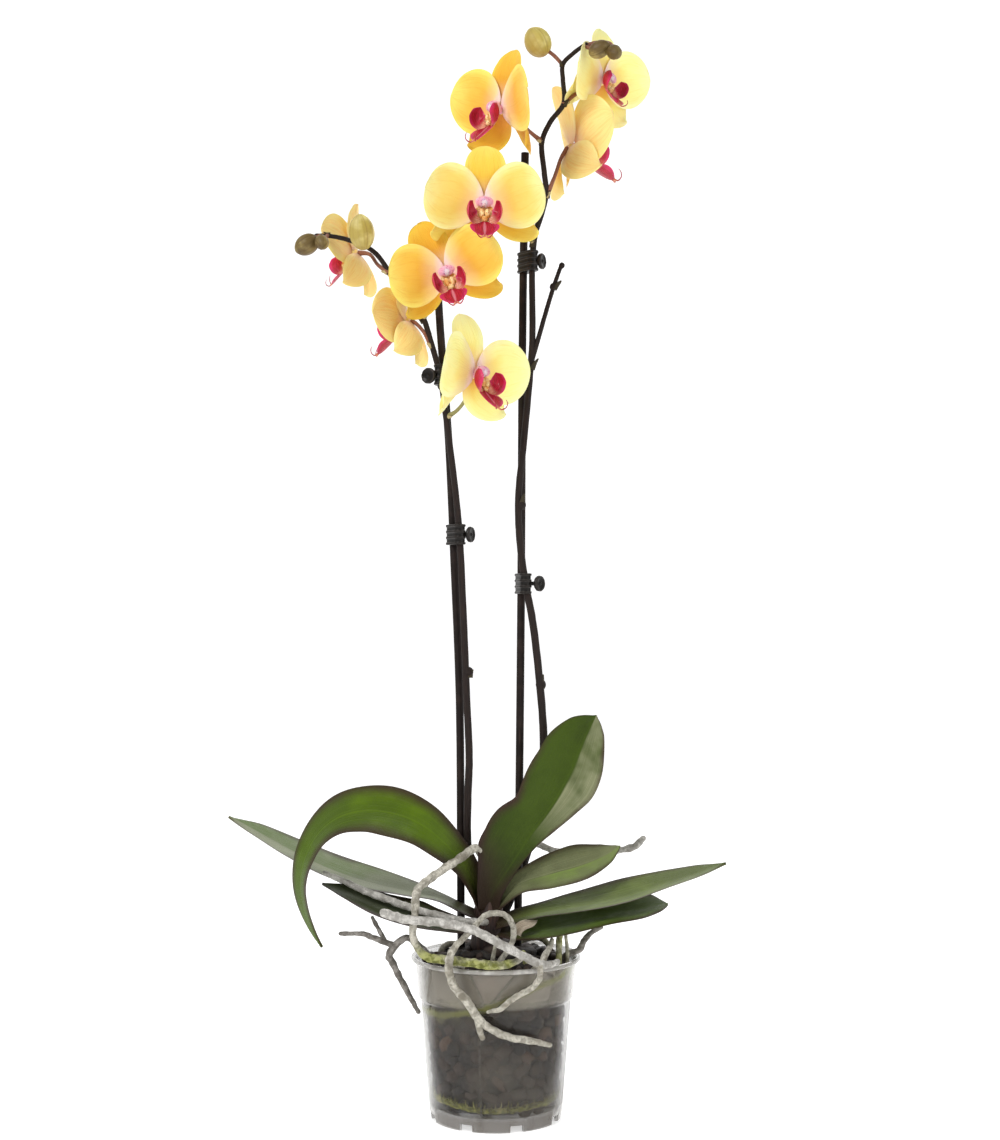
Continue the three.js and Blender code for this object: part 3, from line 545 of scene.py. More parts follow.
def slab():
    """The large smooth pieces behind the upper wall, taupe with a pinkish tint."""
    finish = Finish("smooth_bark", 0.7)
    cloud = finish.cloud(35, 5, finish.stretched((1, 1, 0.3)))
    tint = finish.third.mix((0.13, 0.11, 0.09), (0.27, 0.19, 0.16))
    finish.colour(cloud.step(0.35, 0.7).mix(tint, (0.2, 0.17, 0.145)))
    finish.bump(cloud, 0.0006)
    return finish


def moss():
    finish = Finish("moss", 0.9)
    tufts = finish.cloud(420, 5)
    green = tufts.step(0.35, 0.65).mix((0.09, 0.095, 0.02), (0.30, 0.29, 0.07))
    finish.colour(finish.cloud(90, 3).step(0.5, 0.7).mix(green, (0.42, 0.39, 0.17)))
    finish.bump(tufts, 0.0015)
    return finish


def crown_finish():
    """Dry leaf feet: dark purple-brown, ribbed lengthwise, one with a red glow."""
    finish = Finish("crown_brown", 0.6)
    ribs = finish.lines(4.0, 5, 1, 7.0)
    dark = ribs.step(0.4, 0.68).mix((0.028, 0.014, 0.012), (0.085, 0.045, 0.032))
    glow = finish.third.step(1.6, 2.0, 0.0, 0.8) * ribs.step(0.3, 0.6)
    finish.colour(glow.mix(dark, (0.26, 0.045, 0.03)))
    finish.bump(ribs, 0.001)
    return finish


def dry_skin():
    finish = Finish("dry_bract", 0.75)
    fibres = finish.lines(3.0, 5, 1, 9.0)
    finish.colour(fibres.step(0.35, 0.68).mix((0.36, 0.27, 0.19), (0.72, 0.65, 0.52)))
    finish.bump(fibres, 0.0006)
    return finish


def leaf(name, upper, under, purple, sheen, right_half=None):
    """A waxy blade: lengthwise veins, a dark purple rim, a dark foot and a paler midrib.

    right_half is a colour for the half to the right of the midrib, in soft patches: a painted pale
    sheen on the upright leaf, and on the other leaves that have one their green beside an upper colour
    that is a painted grey sheen.
    """
    finish = Finish(name, 0.38, Specular_IOR_Level=0.2)
    veins = finish.lines(3.2, 4, 0.8, 9.0)
    clouds = finish.cloud(16, 4)
    side = abs(finish.across)
    bright = scaled(upper, 1.7)
    top = clouds.step(0.38, 0.66).mix(bright, scaled(upper, 0.5))
    top = finish.mix(0.5, top, upper)
    top = veins.step(0.5, 0.7, 0.0, 0.35).mix(top, bright)
    # Soft patches of right_half: painted pale sheen on the upright leaf, the leaf's own green on the
    # others.
    if right_half:
        far = finish.across.step(0.04, 0.12) * finish.along.step(0.3, 0.6)
        far = far * veins.step(0.36, 0.66, 0.7, 1.0) * finish.cloud(30, 3).step(0.38, 0.6, 0.3, 1.0)
        top = far.mix(top, right_half)
    top = (side.step(0.0, 0.06, 1.0, 0.0) * 0.3).mix(top, bright)
    blush = side + finish.wander(26, 4, 0.45)
    top = blush.step(purple, 1.05, 0.0, 0.92).mix(top, (0.04, 0.016, 0.013))
    below = clouds.step(0.35, 0.7).mix(under, scaled(under, 0.7))
    below = blush.step(0.8, 1.05, 0.0, 0.7).mix(below, (0.05, 0.025, 0.02))
    face = finish.third.step(-0.2, 0.2).mix(below, top)
    foot = finish.along + (clouds - 0.5) * 0.2 - side * 0.1
    finish.colour(foot.step(0.02, 0.27, 0.92, 0.0).mix(face, (0.03, 0.014, 0.01)))
    finish.rough(clouds.step(0.3, 0.7, sheen, sheen + 0.14))
    finish.bump(veins * 0.7 + finish.cloud(700, 2) * 0.3, 0.0006)
    return finish


# Colours of a petal from its foot outwards: first those of petals, then of the lower sepals.
PALE_FOOT = ((0.94, 0.68, 0.68), (0.92, 0.66, 0.36))
ORANGE_FOOT = ((0.62, 0.20, 0.06), (0.85, 0.42, 0.08))


def tepal_finish(name, heart, body, rim, back, foot):
    """Petals and sepals: a foot of its own colour, then golden, lemon at the rim, with fine veins."""
    finish = Finish(name, 0.6, Specular_IOR_Level=0.2, Sheen_Weight=0.1, Subsurface_Weight=0.15)
    finish.shader.inputs["Subsurface Scale"].default_value = 0.003
    finish.shader.inputs["Subsurface Radius"].default_value = (1.0, 0.6, 0.15)
    veins = finish.lines(2.6, 5, 1.6, 9.0, finish.third)
    loose = finish.wander(55, 3, 0.35)
    side = abs(finish.across)
    reach = finish.math("MAXIMUM", finish.along, side * 0.9) + loose
    face = reach.step(0.2, 0.62).mix(heart, body)
    face = reach.step(0.56, 0.98).mix(face, rim)
    face = veins.step(0.5, 0.74, 0.0, 0.35).mix(face, heart)
    centre = finish.along + loose * 0.4
    face = centre.step(0.1, 0.46, 0.7, 0.0).mix(face, foot[1])
    face = centre.step(0.04, 0.19, 0.8, 0.0).mix(face, foot[0])
    turned = veins.step(0.42, 0.7, 0.0, 0.4).mix(back, heart)
    turned = side.step(0.55, 1.0, 0.0, 0.6).mix(turned, rim)
    turned = centre.step(0.0, 0.4, 0.75, 0.0).mix(turned, (0.93, 0.62, 0.48))
    finish.colour(finish.third.step(-0.2, 0.2).mix(turned, face))
    finish.bump(veins * 0.8 + finish.cloud(900, 2) * 0.2, 0.0005)
    return finish


# The third painted value of a lip's side lobe is this and more towards its inner edge.
SIDE_LOBE = 3


def lip_finish():
    """Crimson lobes with magenta rims, a pale stripe down the middle and fine dark veins."""
    finish = Finish("lip_crimson", 0.42, Specular_IOR_Level=0.3, Coat_Weight=0.1)
    veins = finish.lines(4.0, 4, 1, 5.0)
    side = abs(finish.across)
    loose = finish.wander(160, 3, 0.6)
    blood = veins.step(0.4, 0.65).mix((0.30, 0.002, 0.012), (0.62, 0.006, 0.045))
    rimmed = (side + loose).step(0.55, 1.0, 0.0, 0.75).mix(blood, (0.70, 0.03, 0.17))
    striped = veins.step(0.42, 0.6).mix((0.86, 0.48, 0.30), (0.62, 0.10, 0.04))
    inward = (abs(finish.third) - SIDE_LOBE + loose).step(0.85, 1.15)
    flush = finish.math("MAXIMUM", finish.along.step(0.1, 0.34, 0.85, 0.0), inward)
    middle_lobe = finish.third.step(1.4, 1.6) * finish.third.step(2.4, 2.6, 1.0, 0.0)
    stripe = side.step(0.03, 0.16, 1.0, 0.0) * middle_lobe * 0.5
    finish.colour(stripe.mix(flush.mix(rimmed, striped), (0.82, 0.36, 0.42)))
    finish.bump(veins, 0.0004)
    return finish


def callus_finish():
    finish = Finish("callus_orange", 0.4, Subsurface_Weight=0.1, Subsurface_Scale=0.002)
    spots = finish.cells(900).step(0.18, 0.34, 1.0, 0.0)
    gold = finish.cloud(260, 3).step(0.35, 0.65).mix((0.74, 0.33, 0.06), (0.93, 0.72, 0.34))
    finish.colour((spots * 0.9).mix(gold, (0.36, 0.05, 0.02)))
    finish.bump(finish.cloud(700, 3), 0.0003)
    return finish


def column_finish():
    """The pale column: pink at its foot, whiter towards its tip and speckled."""
    skin = {"Subsurface_Weight": 0.3, "Subsurface_Scale": 0.003, "Specular_IOR_Level": 0.2}
    finish = Finish("column_pink", 0.55, **skin)
    flush = finish.along + finish.wander(420, 3, 0.5)
    pale = flush.step(0.25, 0.8).mix((0.84, 0.40, 0.50), (0.92, 0.66, 0.68))
    finish.colour(finish.cloud(700, 2).step(0.52, 0.66, 0, 0.75).mix(pale, (0.62, 0.16, 0.28)))
    finish.bump(finish.cloud(600, 3), 0.0002)
    return finish


def stem_finish(name, dark, light, glow):
    """Smooth stem skin: fine lengthwise streaks, small pale dots and a tint that follows the paint."""
    finish = Finish(name, 0.5, Specular_IOR_Level=0.25)
    streaks = finish.lines(3.0, 5, 22.0, 14.0)
    skin = streaks.step(0.4, 0.7).mix(dark, light)
    skin = finish.cells(420).step(0.08, 0.16, 0.3, 0.0).mix(skin, scaled(light, 2))
    finish.colour(finish.third.mix(skin, glow))
    finish.rough(streaks.step(0.35, 0.7, 0.5, 0.7))
    finish.bump(streaks, 0.0004)
    return finish


def root_finish(name, pale, grey, dirty):
    """Papery root skin: silvery, cracked and speckled, green where the paint says so."""
    finish = Finish(name, 0.85, Specular_IOR_Level=0.2)
    papery = finish.cloud(260, 6, warp=0.4)
    blotches = finish.cloud(85, 6)
    cracks = finish.cells(330, "DISTANCE_TO_EDGE").step(0.0, 0.06, 1.0, 0.0)
    skin = papery.step(0.38, 0.62).mix(grey, pale)
    skin = blotches.step(0.48, 0.66, 0.0, 0.6).mix(skin, dirty)
    skin = finish.cloud(700, 3).step(0.54, 0.68, 0.0, 0.35).mix(skin, dirty)
    skin = (cracks * 0.3).mix(skin, scaled(grey, 0.4))
    green = papery.step(0.4, 0.6).mix((0.13, 0.14, 0.03), (0.38, 0.39, 0.14))
    finish.colour((finish.third * blotches.step(0.3, 0.55, 0.45, 1.0)).mix(skin, green))
    finish.rough(papery.step(0.3, 0.7, 0.75, 0.95))
    finish.bump(papery * 0.6 + blotches * 0.4, 0.0011)
    return finish


def stake_plastic():
    finish = Finish("stake_plastic", 0.45, Specular_IOR_Level=0.2)
    marks = finish.cloud(120, 5)
    scuffs = finish.cloud(288, 3, finish.stretched((1, 1, 0.12)))
    shade = marks.step(0.4, 0.7).mix((0.009, 0.005, 0.004), (0.022, 0.013, 0.01))
    finish.colour(scuffs.step(0.64, 0.74, 0, 0.5).mix(shade, (0.0484, 0.0286, 0.022)))
    finish.rough(scuffs.step(0.35, 0.7, 0.45, 0.65))
    finish.bump(marks + scuffs, 0.00018)
    return finish


def clip_plastic():
    """Dark clip plastic whose proud bands are pale on their rounded edges: partly wear, partly a painted
    highlight.
    """
    finish = Finish("clip_plastic", 0.3, Specular_IOR_Level=0.2)
    marks = finish.cloud(300, 4)
    body = marks.mix((0.005, 0.004, 0.004), (0.014, 0.012, 0.01))
    # worn is the paleness on rounded edges: partly wear, partly a painted highlight.
    worn = finish.third * marks.step(0.3, 0.6, 0.5, 1.0)
    finish.colour(worn.mix(body, (0.05, 0.042, 0.037)))
    finish.bump(marks, 0.0002)
    return finish


def bud_finish(name, green, yellow, shade):
    """A closed bud: seams between its sepals, faint ribs, darker towards the stalk, painted shade on one
    side.
    """
    finish = Finish(name, 0.5, Specular_IOR_Level=0.3)
    turn = finish.math("FRACT", finish.across * 3.0)
    seam = abs(turn - 0.5).step(0.0, 0.06, 1.0, 0.0)
    ribs = finish.math("SINE", finish.across * 90.0)
    skin = finish.cloud(70, 4).step(0.4, 0.65).mix(green, yellow)
    # Painted shade down one side of the bud.
    skin = abs(finish.across - 0.5).step(0.16, 0.4, 0.5, 0.0).mix(skin, shade)
    skin = ribs.step(0.2, 1.0, 0.0, 0.18).mix(skin, shade)
    skin = (seam * 0.55).mix(skin, shade)
    finish.colour(finish.along.step(0.7, 1.0, 0.0, 0.6).mix(skin, shade))
    finish.bump(ribs * 0.1 + finish.cloud(500, 3), 0.0003)
    return finish


# Pot

POT_TALL = 113
# Each point of the outline is its distance from the axis, its height, and whether the
# notches of the foot lift it.
POT_PROFILE = [
    (45.9, 0, 1), (46.8, 5, 1), (47.35, 11, 0), (50.5, 49, 0), (53.1, 82.2, 0), (53.4, 83.4, 0),
    (54.5, 84.4, 0), (54.75, 85.2, 0), (56.8, 109.2, 0), (57.4, 110, 0), (59.5, 110.1, 0),
    (60, 110.7, 0), (60, 112.3, 0), (59.3, POT_TALL, 0), (57.8, POT_TALL, 0), (57, 112.3, 0),
    (55.75, 109, 0), (53.6, 85.2, 0), (52.3, 84, 0), (52.1, 82, 0), (49.4, 49, 0), (46.2, 10.5, 0),
    (44.5, 9, 0), (30, 9, 0), (1, 9, 0), (1, 8, 0), (30, 8, 0), (43.9, 8, 0), (44.6, 7, 0),
    (43.6, 0, 1), (45.9, 0, 1),
]
POT_SIDES = 180
NOTCHES = 8
NOTCH_FIRST = -71.5
NOTCH_HALF_TURN = 6.0
NOTCH_TOP = 4.5
NOTCH_EDGE = 0.05
NOTCH_SLOPE = 0.01
SEAM_TURN = -102.5
SEAM_COUNT = 4
SEAM_HALF = 0.7
SEAM_PROUD = 0.35
SEAM_SUNK = 0.2
RIM_FROM = 110.05
RIM_INSIDE = 56.9


def outward(angle, reach=1, height=0):
    """The point at an angle in radians round the axis, at a reach from it and a height."""
    return Vector((reach * math.cos(angle), reach * math.sin(angle), height))


def notched(angle):
    turned = (angle - NOTCH_FIRST) % (360 / NOTCHES)
    return min(turned, 360 / NOTCHES - turned) < NOTCH_HALF_TURN


def pot_shell():
    """Wall, rolled rim, raised floor and a foot ring with notches, in one closed skin."""
    shape = Shape()
    angles = [360 * side / POT_SIDES for side in range(POT_SIDES)]
    for notch in range(NOTCHES):
        middle = NOTCH_FIRST + 360 * notch / NOTCHES
        for end in (middle - NOTCH_HALF_TURN, middle + NOTCH_HALF_TURN):
            angles += [(end - NOTCH_EDGE) % 360, (end + NOTCH_EDGE) % 360]
    angles = sorted(set(angles))
    rings, paints = [], []
    for radius, height, low in POT_PROFILE:
        ring, ring_paint = [], []
        for angle in angles:
            lifted = max(height, NOTCH_TOP + NOTCH_SLOPE * height) if low and notched(angle) else height
            ring.append(outward(math.radians(angle), radius, lifted))
            ring_paint.append((height / POT_TALL, angle / 360, 0))
        rings.append(ring)
        paints.append(ring_paint)
    shape.skin(rings, paints, capped=False)
    for number, face in enumerate(shape.faces):
        corners = [shape.points[corner] for corner in face]
        in_rim = min(corner.z for corner in corners) >= RIM_FROM
        if in_rim and min(corner.xy.length for corner in corners) > RIM_INSIDE:
            shape.looks[number] = 1
    for seam in range(SEAM_COUNT):
        seam_rib(shape, math.radians((SEAM_TURN + 360 * seam / SEAM_COUNT) % 360))
    return shape


def seam_rib(shape, turn):
    """A fine raised line down the outside of the wall."""
    out = outward(turn)
    side = Vector((-out.y, out.x, 0))
    proud = out * (SEAM_SUNK + SEAM_PROUD)
    rings = []
    for radius, height, low in POT_PROFILE[2:5]:
        base = out * (radius - SEAM_SUNK) + Vector((0, 0, height))
        rings.append([
            base - side * SEAM_HALF,
            base - side * SEAM_HALF * 0.5 + proud,
            base + side * SEAM_HALF * 0.5 + proud,
            base + side * SEAM_HALF,
        ])
    shape.skin(rings, [[(0, 0, 0)] * 4] * len(rings))


# Bark, slabs and moss inside the pot

# Stretches of the inside of the wall: the height and radius where each begins and ends.
INNER_WALL = [(10.5, 46.2, 49, 49.4), (49, 49.4, 84, 52.2), (86, 53.5, 109, 55.7)]
MEDIUM_CORE = [(30, 12), (41, 13), (45, 49), (47, 81), (50, 98), (48, 105), (38, 110), (20, 113), (1, 114)]
CORE_SIDES = 72
CHIP_SEED = 11
WALL_FOOT = 16
WALL_PITCH = 8.2
WALL_ROWS = 11
WALL_CHIPS = 24
TOP_CHIPS = 170
TOP_REACH = 49
TOP_LEVEL = 105
MOUND = 10
# Slabs behind the upper wall: the angles of their corners from the front, in degrees, and tint.
Slab = namedtuple("Slab", "top foot tint")
SLABS = [
    Slab((-56, -21), (-54, -9.5), 0.1),
    Slab((-17, 12), (-8, -4.5), 1.0),
    Slab((16, 50), (-2, 44), 0.3),
]
SLAB_LOW = 89
SLAB_HIGH = 108
MOSS_HEIGHT = 14.5
MOSS_THICK = 1.9
MOSS_TUFTS = 190
MOSS_STEPS = 60
MOSS_RISE = 3.2


def inner_wall(height):
    """Radius of the inside of the wall at a height."""
    for low, narrow, high, wide in INNER_WALL:
        if height < high:
            break
    return narrow + (wide - narrow) * (max(height, low) - low) / (high - low)


def chip(shape, dice, centre, half, turn):
    """One flake of bark, blunt and uneven."""
    seed = Vector(centre) * 0.37

    def wobble(way, angle, dip):
        square = 1 / max(abs(way.x), abs(way.y), abs(way.z)) ** 0.62
        return square * (1 + 0.28 * noise.noise(way * 1.7 + seed) + 0.1 * noise.noise(way * 5 + seed))

    ball(shape, centre, half, turn, sides=12, rows=9, wobble=wobble, tone=dice.random())


def turned_flat(angle, tip):
    """A turn about the upright after a tip about X."""
    return Quaternion((0, 0, 1), angle) @ Quaternion((1, 0, 0), tip)


def pot_filling():
    """The dark core, flakes pressed against the wall and flakes lying loose on top."""
    shape = Shape()
    rings = []
    for radius, height in MEDIUM_CORE:
        ring = []
        for side in range(CORE_SIDES):
            angle = 2 * math.pi * side / CORE_SIDES
            spot = outward(angle, radius, height)
            ring.append(spot + spot.xy.to_3d().normalized() * noise.noise(spot * 0.12) * 2)
        rings.append(ring)
    shape.skin(rings, [[(0, 0, 0.3)] * CORE_SIDES] * len(rings))
    dice = random.Random(CHIP_SEED)
    for row in range(WALL_ROWS):
        height = WALL_FOOT + WALL_PITCH * row
        for number in range(WALL_CHIPS):
            angle = 2 * math.pi * (number + 0.5 * (row % 2) + dice.uniform(-0.25, 0.25)) / WALL_CHIPS
            half = (dice.uniform(3.2, 4.2), dice.uniform(4.5, 7.5), dice.uniform(3, 5.5))
            level = height + dice.uniform(-2.5, 2.5)
            reach = inner_wall(level) - half[0] - 1.6 - dice.uniform(0, 1.5)
            turn = turned_flat(angle, dice.uniform(-0.9, 0.9))
            chip(shape, dice, outward(angle, reach, level), half, turn)
    for number in range(TOP_CHIPS):
        angle = dice.uniform(0, 2 * math.pi)
        reach = TOP_REACH * math.sqrt(dice.uniform(0.03, 1))
        half = (dice.uniform(4, 9), dice.uniform(3, 6), dice.uniform(2.2, 4.2))
        turn = turned_flat(dice.uniform(0, 6.3), dice.uniform(-0.7, 0.7))
        level = TOP_LEVEL + dice.uniform(-1.5, 3.5) + MOUND * (1 - (reach / TOP_REACH) ** 2)
        chip(shape, dice, outward(angle, reach, level), half, turn)
    for entry in SLABS:
        slab_plate(shape, entry)
    return shape


def slab_plate(shape, entry):
    """A smooth curved plate standing against the inside of the upper wall."""
    rings, paints = [], []
    for share in spread(8):
        left, right = [foot + (top - foot) * share for foot, top in zip(entry.foot, entry.top)]
        height = SLAB_LOW + (SLAB_HIGH - SLAB_LOW) * share
        outside, inside = [], []
        for column in spread(10):
            angle = math.radians(-90 + left + (right - left) * column)
            way = outward(angle)
            swell = 0.5 * noise.noise(Vector((angle * 4, share * 3, entry.tint)))
            reach = inner_wall(height) - 0.9 + swell - 0.8 * abs(2 * column - 1) ** 4
            outside.append(way * reach + Vector((0, 0, height)))
            inside.append(way * (reach - 2.2 + 1.2 * abs(2 * column - 1) ** 2) + Vector((0, 0, height)))
        rings.append(outside + inside[::-1])
        paints.append([(share, 0, entry.tint)] * len(rings[-1]))
    shape.skin(rings, paints, look=1)


def moss_rise(angle):
    """How much higher the moss sits at the sides of the pot than at its front and back."""
    return MOSS_RISE * (1 - math.cos(2 * (angle + math.pi / 2))) / 2


def moss_ring():
    """A lumpy ring of moss low against the wall, with short blades standing off it."""
    shape = Shape()
    dice = random.Random(CHIP_SEED + 1)
    route = []
    for step in range(MOSS_STEPS + 1):
        angle = 2 * math.pi * step / MOSS_STEPS
        level = MOSS_HEIGHT + 1.5 * noise.noise(outward(angle, 2, 3))
        level += moss_rise(angle)
        route.append(outward(angle, inner_wall(level) - MOSS_THICK - 0.5, level))
    tube(shape, route, [MOSS_THICK] * len(route), sides=12, steps=3, rough=0.55, grain=0.45)
    for number in range(MOSS_TUFTS):
        angle = 2 * math.pi * number / MOSS_TUFTS + dice.uniform(-0.02, 0.02)
        foot = MOSS_HEIGHT + dice.uniform(-1, 1.5) + moss_rise(angle)
        reach = inner_wall(foot) - 1.2
        tip = foot + dice.uniform(2, 6)
        lean = angle + dice.uniform(-0.08, 0.08)
        middle = outward(lean, reach + 0.3, (foot + tip) / 2)
        route = [outward(angle, reach, foot), middle, outward(lean, reach, tip)]
        tube(shape, route, [0.5, 0.4, 0.12], sides=5, steps=3)
    return shape


# Crown: the short stem wrapped in the feet of old leaves

CROWN_ROUTE = [(-5, 2, 98), (-6, 1, 125), (-5, -1, 150), (-4, -3, 170)]
CROWN_RADII = [11.5, 11.6, 9.4, 4.5]
CROWN_FOOT = 98
CROWN_TALL = 72
SHEATH_REACH = (9.6, 6)
SHEATH_FOLD = -38
# Old leaf feet round the stem: direction in degrees, height of foot and tip, half width, tint.
Sheath = namedtuple("Sheath", "turn foot tip half tint")
SHEATHS = [
    Sheath(-95, 112, 147, 11, 1.0), Sheath(95, 112, 145, 11, 0.2), Sheath(175, 116, 141, 11, 0.1),
    Sheath(-10, 116, 143, 10, 0.0), Sheath(-140, 114, 151, 10, 0.1), Sheath(-45, 114, 149, 10, 0.3),
]


def crown():
    shape = Shape()
    tube(shape, CROWN_ROUTE, CROWN_RADII, sides=32, steps=8, rough=0.1, grain=0.12)
    points = [Vector(point) for point in CROWN_ROUTE]
    for entry in SHEATHS:
        out = outward(math.radians(entry.turn))
        stations = []
        for share in spread(18):
            height = entry.foot + (entry.tip - entry.foot) * share
            centre = curve_point(points, min((height - CROWN_FOOT) / CROWN_TALL, 1))
            half = entry.half * math.sqrt(max(1 - share**2.2, 0.002))
            reach = SHEATH_REACH[0] * (1 - share) + SHEATH_REACH[1] * share
            spot = Vector((centre.x, centre.y, height)) + out * reach
            stations.append((spot, out, (half, half), SHEATH_FOLD))
        blade(shape, stations, 14, 1.6, 0.6, 2, tone=entry.tint)
    return shape


# Leaves

LEAF_BLADE = {"columns": 28, "middle": 2.1, "edge": 0.7, "crease": 1.25}
LEAF_ROWS = 84
LEAF_WAVE = 0.9
# A station is its centre, the way it faces, its left and right half and its fold in degrees.
LEAVES = {
    "leaf_arching": ("bright", [
        ((-9, -5, 142), (0.6, -0.64, 0.5), (7, 7), 30),
        ((-14, -7, 156), (0.55, -0.66, 0.5), (9, 9), 24),
        ((-23, -13, 177), (0.4, -0.7, 0.6), (13, 12), 16),
        ((-38, -20, 195), (0.15, -0.72, 0.7), (18, 16), 12),
        ((-54, -25, 208), (0, -0.68, 0.75), (22, 20), 10),
        ((-72, -28, 215), (-0.1, -0.66, 0.75), (24, 23), 8),
        ((-91, -30, 217), (-0.3, -0.64, 0.72), (23, 22), 8),
        ((-108, -32, 213), (-0.6, -0.6, 0.5), (20, 20), 8),
        ((-122, -34, 202), (-0.8, -0.52, 0.3), (18, 18), 8),
        ((-131, -35, 185), (-0.86, -0.48, 0.1), (16, 16), 8),
        ((-134, -35, 168), (-0.88, -0.46, 0), (13, 13), 8),
        ((-132, -35, 152), (-0.88, -0.46, -0.1), (10, 10), 8),
        ((-127, -34, 137), (-0.86, -0.46, -0.2), (6, 6), 6),
        ((-120, -33, 124), (-0.84, -0.46, -0.3), (1.2, 1.2), 4),
    ]),
    "leaf_upright": ("upright", [
        ((-5, -8, 145), (0, -0.99, 0.1), (9, 8), 34),
        ((-2, -10, 158), (-0.05, -0.99, 0.1), (13, 8), 28),
        ((10, -12, 176), (-0.1, -0.98, 0.1), (28, 6), 22),
        ((18, -12, 188), (-0.1, -0.98, 0.12), (31, 7), 22),
        ((25, -12, 199), (-0.12, -0.98, 0.12), (31, 10), 22),
        ((34, -12, 211), (-0.12, -0.98, 0.12), (26, 14), 22),
        ((42, -12, 223), (-0.12, -0.98, 0.12), (28, 19), 22),
        ((48, -12, 234), (-0.12, -0.98, 0.12), (29, 24), 22),
        ((54, -12, 246), (-0.12, -0.98, 0.12), (28, 24), 22),
        ((60, -12, 261), (-0.12, -0.98, 0.12), (25, 20), 22),
        ((66, -12, 274), (-0.12, -0.98, 0.12), (16, 13), 20),
        ((71, -12, 283), (-0.12, -0.98, 0.12), (3, 3), 10),
    ]),
    # Its near half carries a painted grey sheen, its far half its own green.
    "leaf_long_left": ("two_toned", [
        ((-10, -5, 138), (0.5, -0.3, 0.8), (7, 7), 24),
        ((-22, -6, 143), (0.4, -0.25, 0.88), (9, 8), 20),
        ((-39, 0, 151), (0.35, -0.2, 0.9), (15, 9), 14),
        ((-61, 6, 155), (0.3, -0.2, 0.92), (20, 17), 12),
        ((-90, 11, 160.5), (0.25, -0.2, 0.92), (25, 24), 12),
        ((-119, 13, 169.5), (0.3, -0.2, 0.92), (25, 25), 12),
        ((-148, 15, 183), (0.35, -0.2, 0.9), (22, 21), 12),
        ((-174, 18, 197), (0.4, -0.2, 0.88), (14, 13), 12),
        ((-193, 19, 208), (0.4, -0.2, 0.88), (2, 2), 8),
    ]),
    "leaf_dark_left": ("dark", [
        ((-9, -9, 130), (0.3, -0.35, 0.88), (7, 7), 24),
        ((-22, -15, 133), (0.2, -0.35, 0.9), (11, 10), 20),
        ((-36, -20, 137), (0.1, -0.32, 0.92), (17, 15), 14),
        ((-53, -23, 141), (0.1, -0.3, 0.93), (21, 20), 12),
        ((-78, -22, 147.5), (0.2, -0.3, 0.93), (20, 19), 12),
        ((-104, -18, 158), (0.25, -0.3, 0.92), (13, 13), 12),
        ((-122, -15, 165), (0.25, -0.3, 0.92), (2, 2), 8),
    ]),
    # Its upper half carries a painted purple-grey sheen, its lower half its own green.
    "leaf_small_right": ("young", [
        ((-2, -7, 144), (-0.4, -0.7, 0.6), (7, 7), 30),
        ((4, -9, 152), (-0.4, -0.7, 0.6), (8, 9), 26),
        ((17, -10, 164), (-0.3, -0.7, 0.7), (9, 13), 20),
        ((38, -10, 171), (-0.2, -0.7, 0.72), (15, 18), 16),
        ((60, -9, 177), (-0.25, -0.7, 0.7), (17, 18), 16),
        ((78, -7, 184), (-0.3, -0.7, 0.7), (10, 10), 12),
        ((88, -6, 190), (-0.3, -0.7, 0.7), (2, 2), 8),
    ]),
    "leaf_long_right": ("grey", [
        ((1, -10, 134), (-0.3, -0.5, 0.85), (7, 7), 26),
        ((13, -13, 139), (-0.2, -0.45, 0.88), (9, 10), 22),
        ((31, -17, 144), (-0.15, -0.25, 0.94), (13, 15), 16),
        ((52, -20, 148), (-0.1, -0.2, 0.95), (19, 20), 14),
        ((75, -21, 152), (-0.15, -0.18, 0.96), (24, 24), 14),
        ((98, -21, 158), (-0.2, -0.18, 0.96), (24, 24), 14),
        ((122, -21, 166), (-0.3, -0.18, 0.94), (19, 19), 14),
        ((143, -20, 173), (-0.3, -0.18, 0.94), (12, 12), 12),
        ((161, -20, 180), (-0.3, -0.18, 0.94), (1.5, 1.5), 8),
    ]),
    "leaf_low_right": ("middle", [
        ((3, -13, 130), (0, -0.5, 0.87), (7, 7), 20),
        ((14, -18, 130), (-0.05, -0.5, 0.87), (9, 9), 18),
        ((30, -22, 133), (-0.1, -0.45, 0.88), (14, 14), 14),
        ((52, -25, 138), (-0.15, -0.35, 0.92), (19, 19), 12),
        ((76, -26, 144), (-0.15, -0.32, 0.94), (22, 22), 12),
        ((98, -26, 148), (-0.15, -0.32, 0.94), (20, 20), 12),
        ((112, -25, 151), (-0.15, -0.32, 0.94), (13, 13), 10),
        ((120, -24, 152), (-0.15, -0.32, 0.94), (3, 3), 6),
    ]),
}


def leaf_blade(entries, seed):
    """A smooth blade through the leaf's stations, with a slight wave towards its rims."""

    def ripple(share, across):
        wave = noise.noise(Vector((share * 5, across * 1.2, seed)))
        return LEAF_WAVE * wave * abs(across) ** 1.5 * ease(0, 0.2, share)

    shape = Shape()
    blade(shape, resampled(entries, LEAF_ROWS, 0.95), ripple=ripple, **LEAF_BLADE)
    return shape


# Stakes, spikes and clips

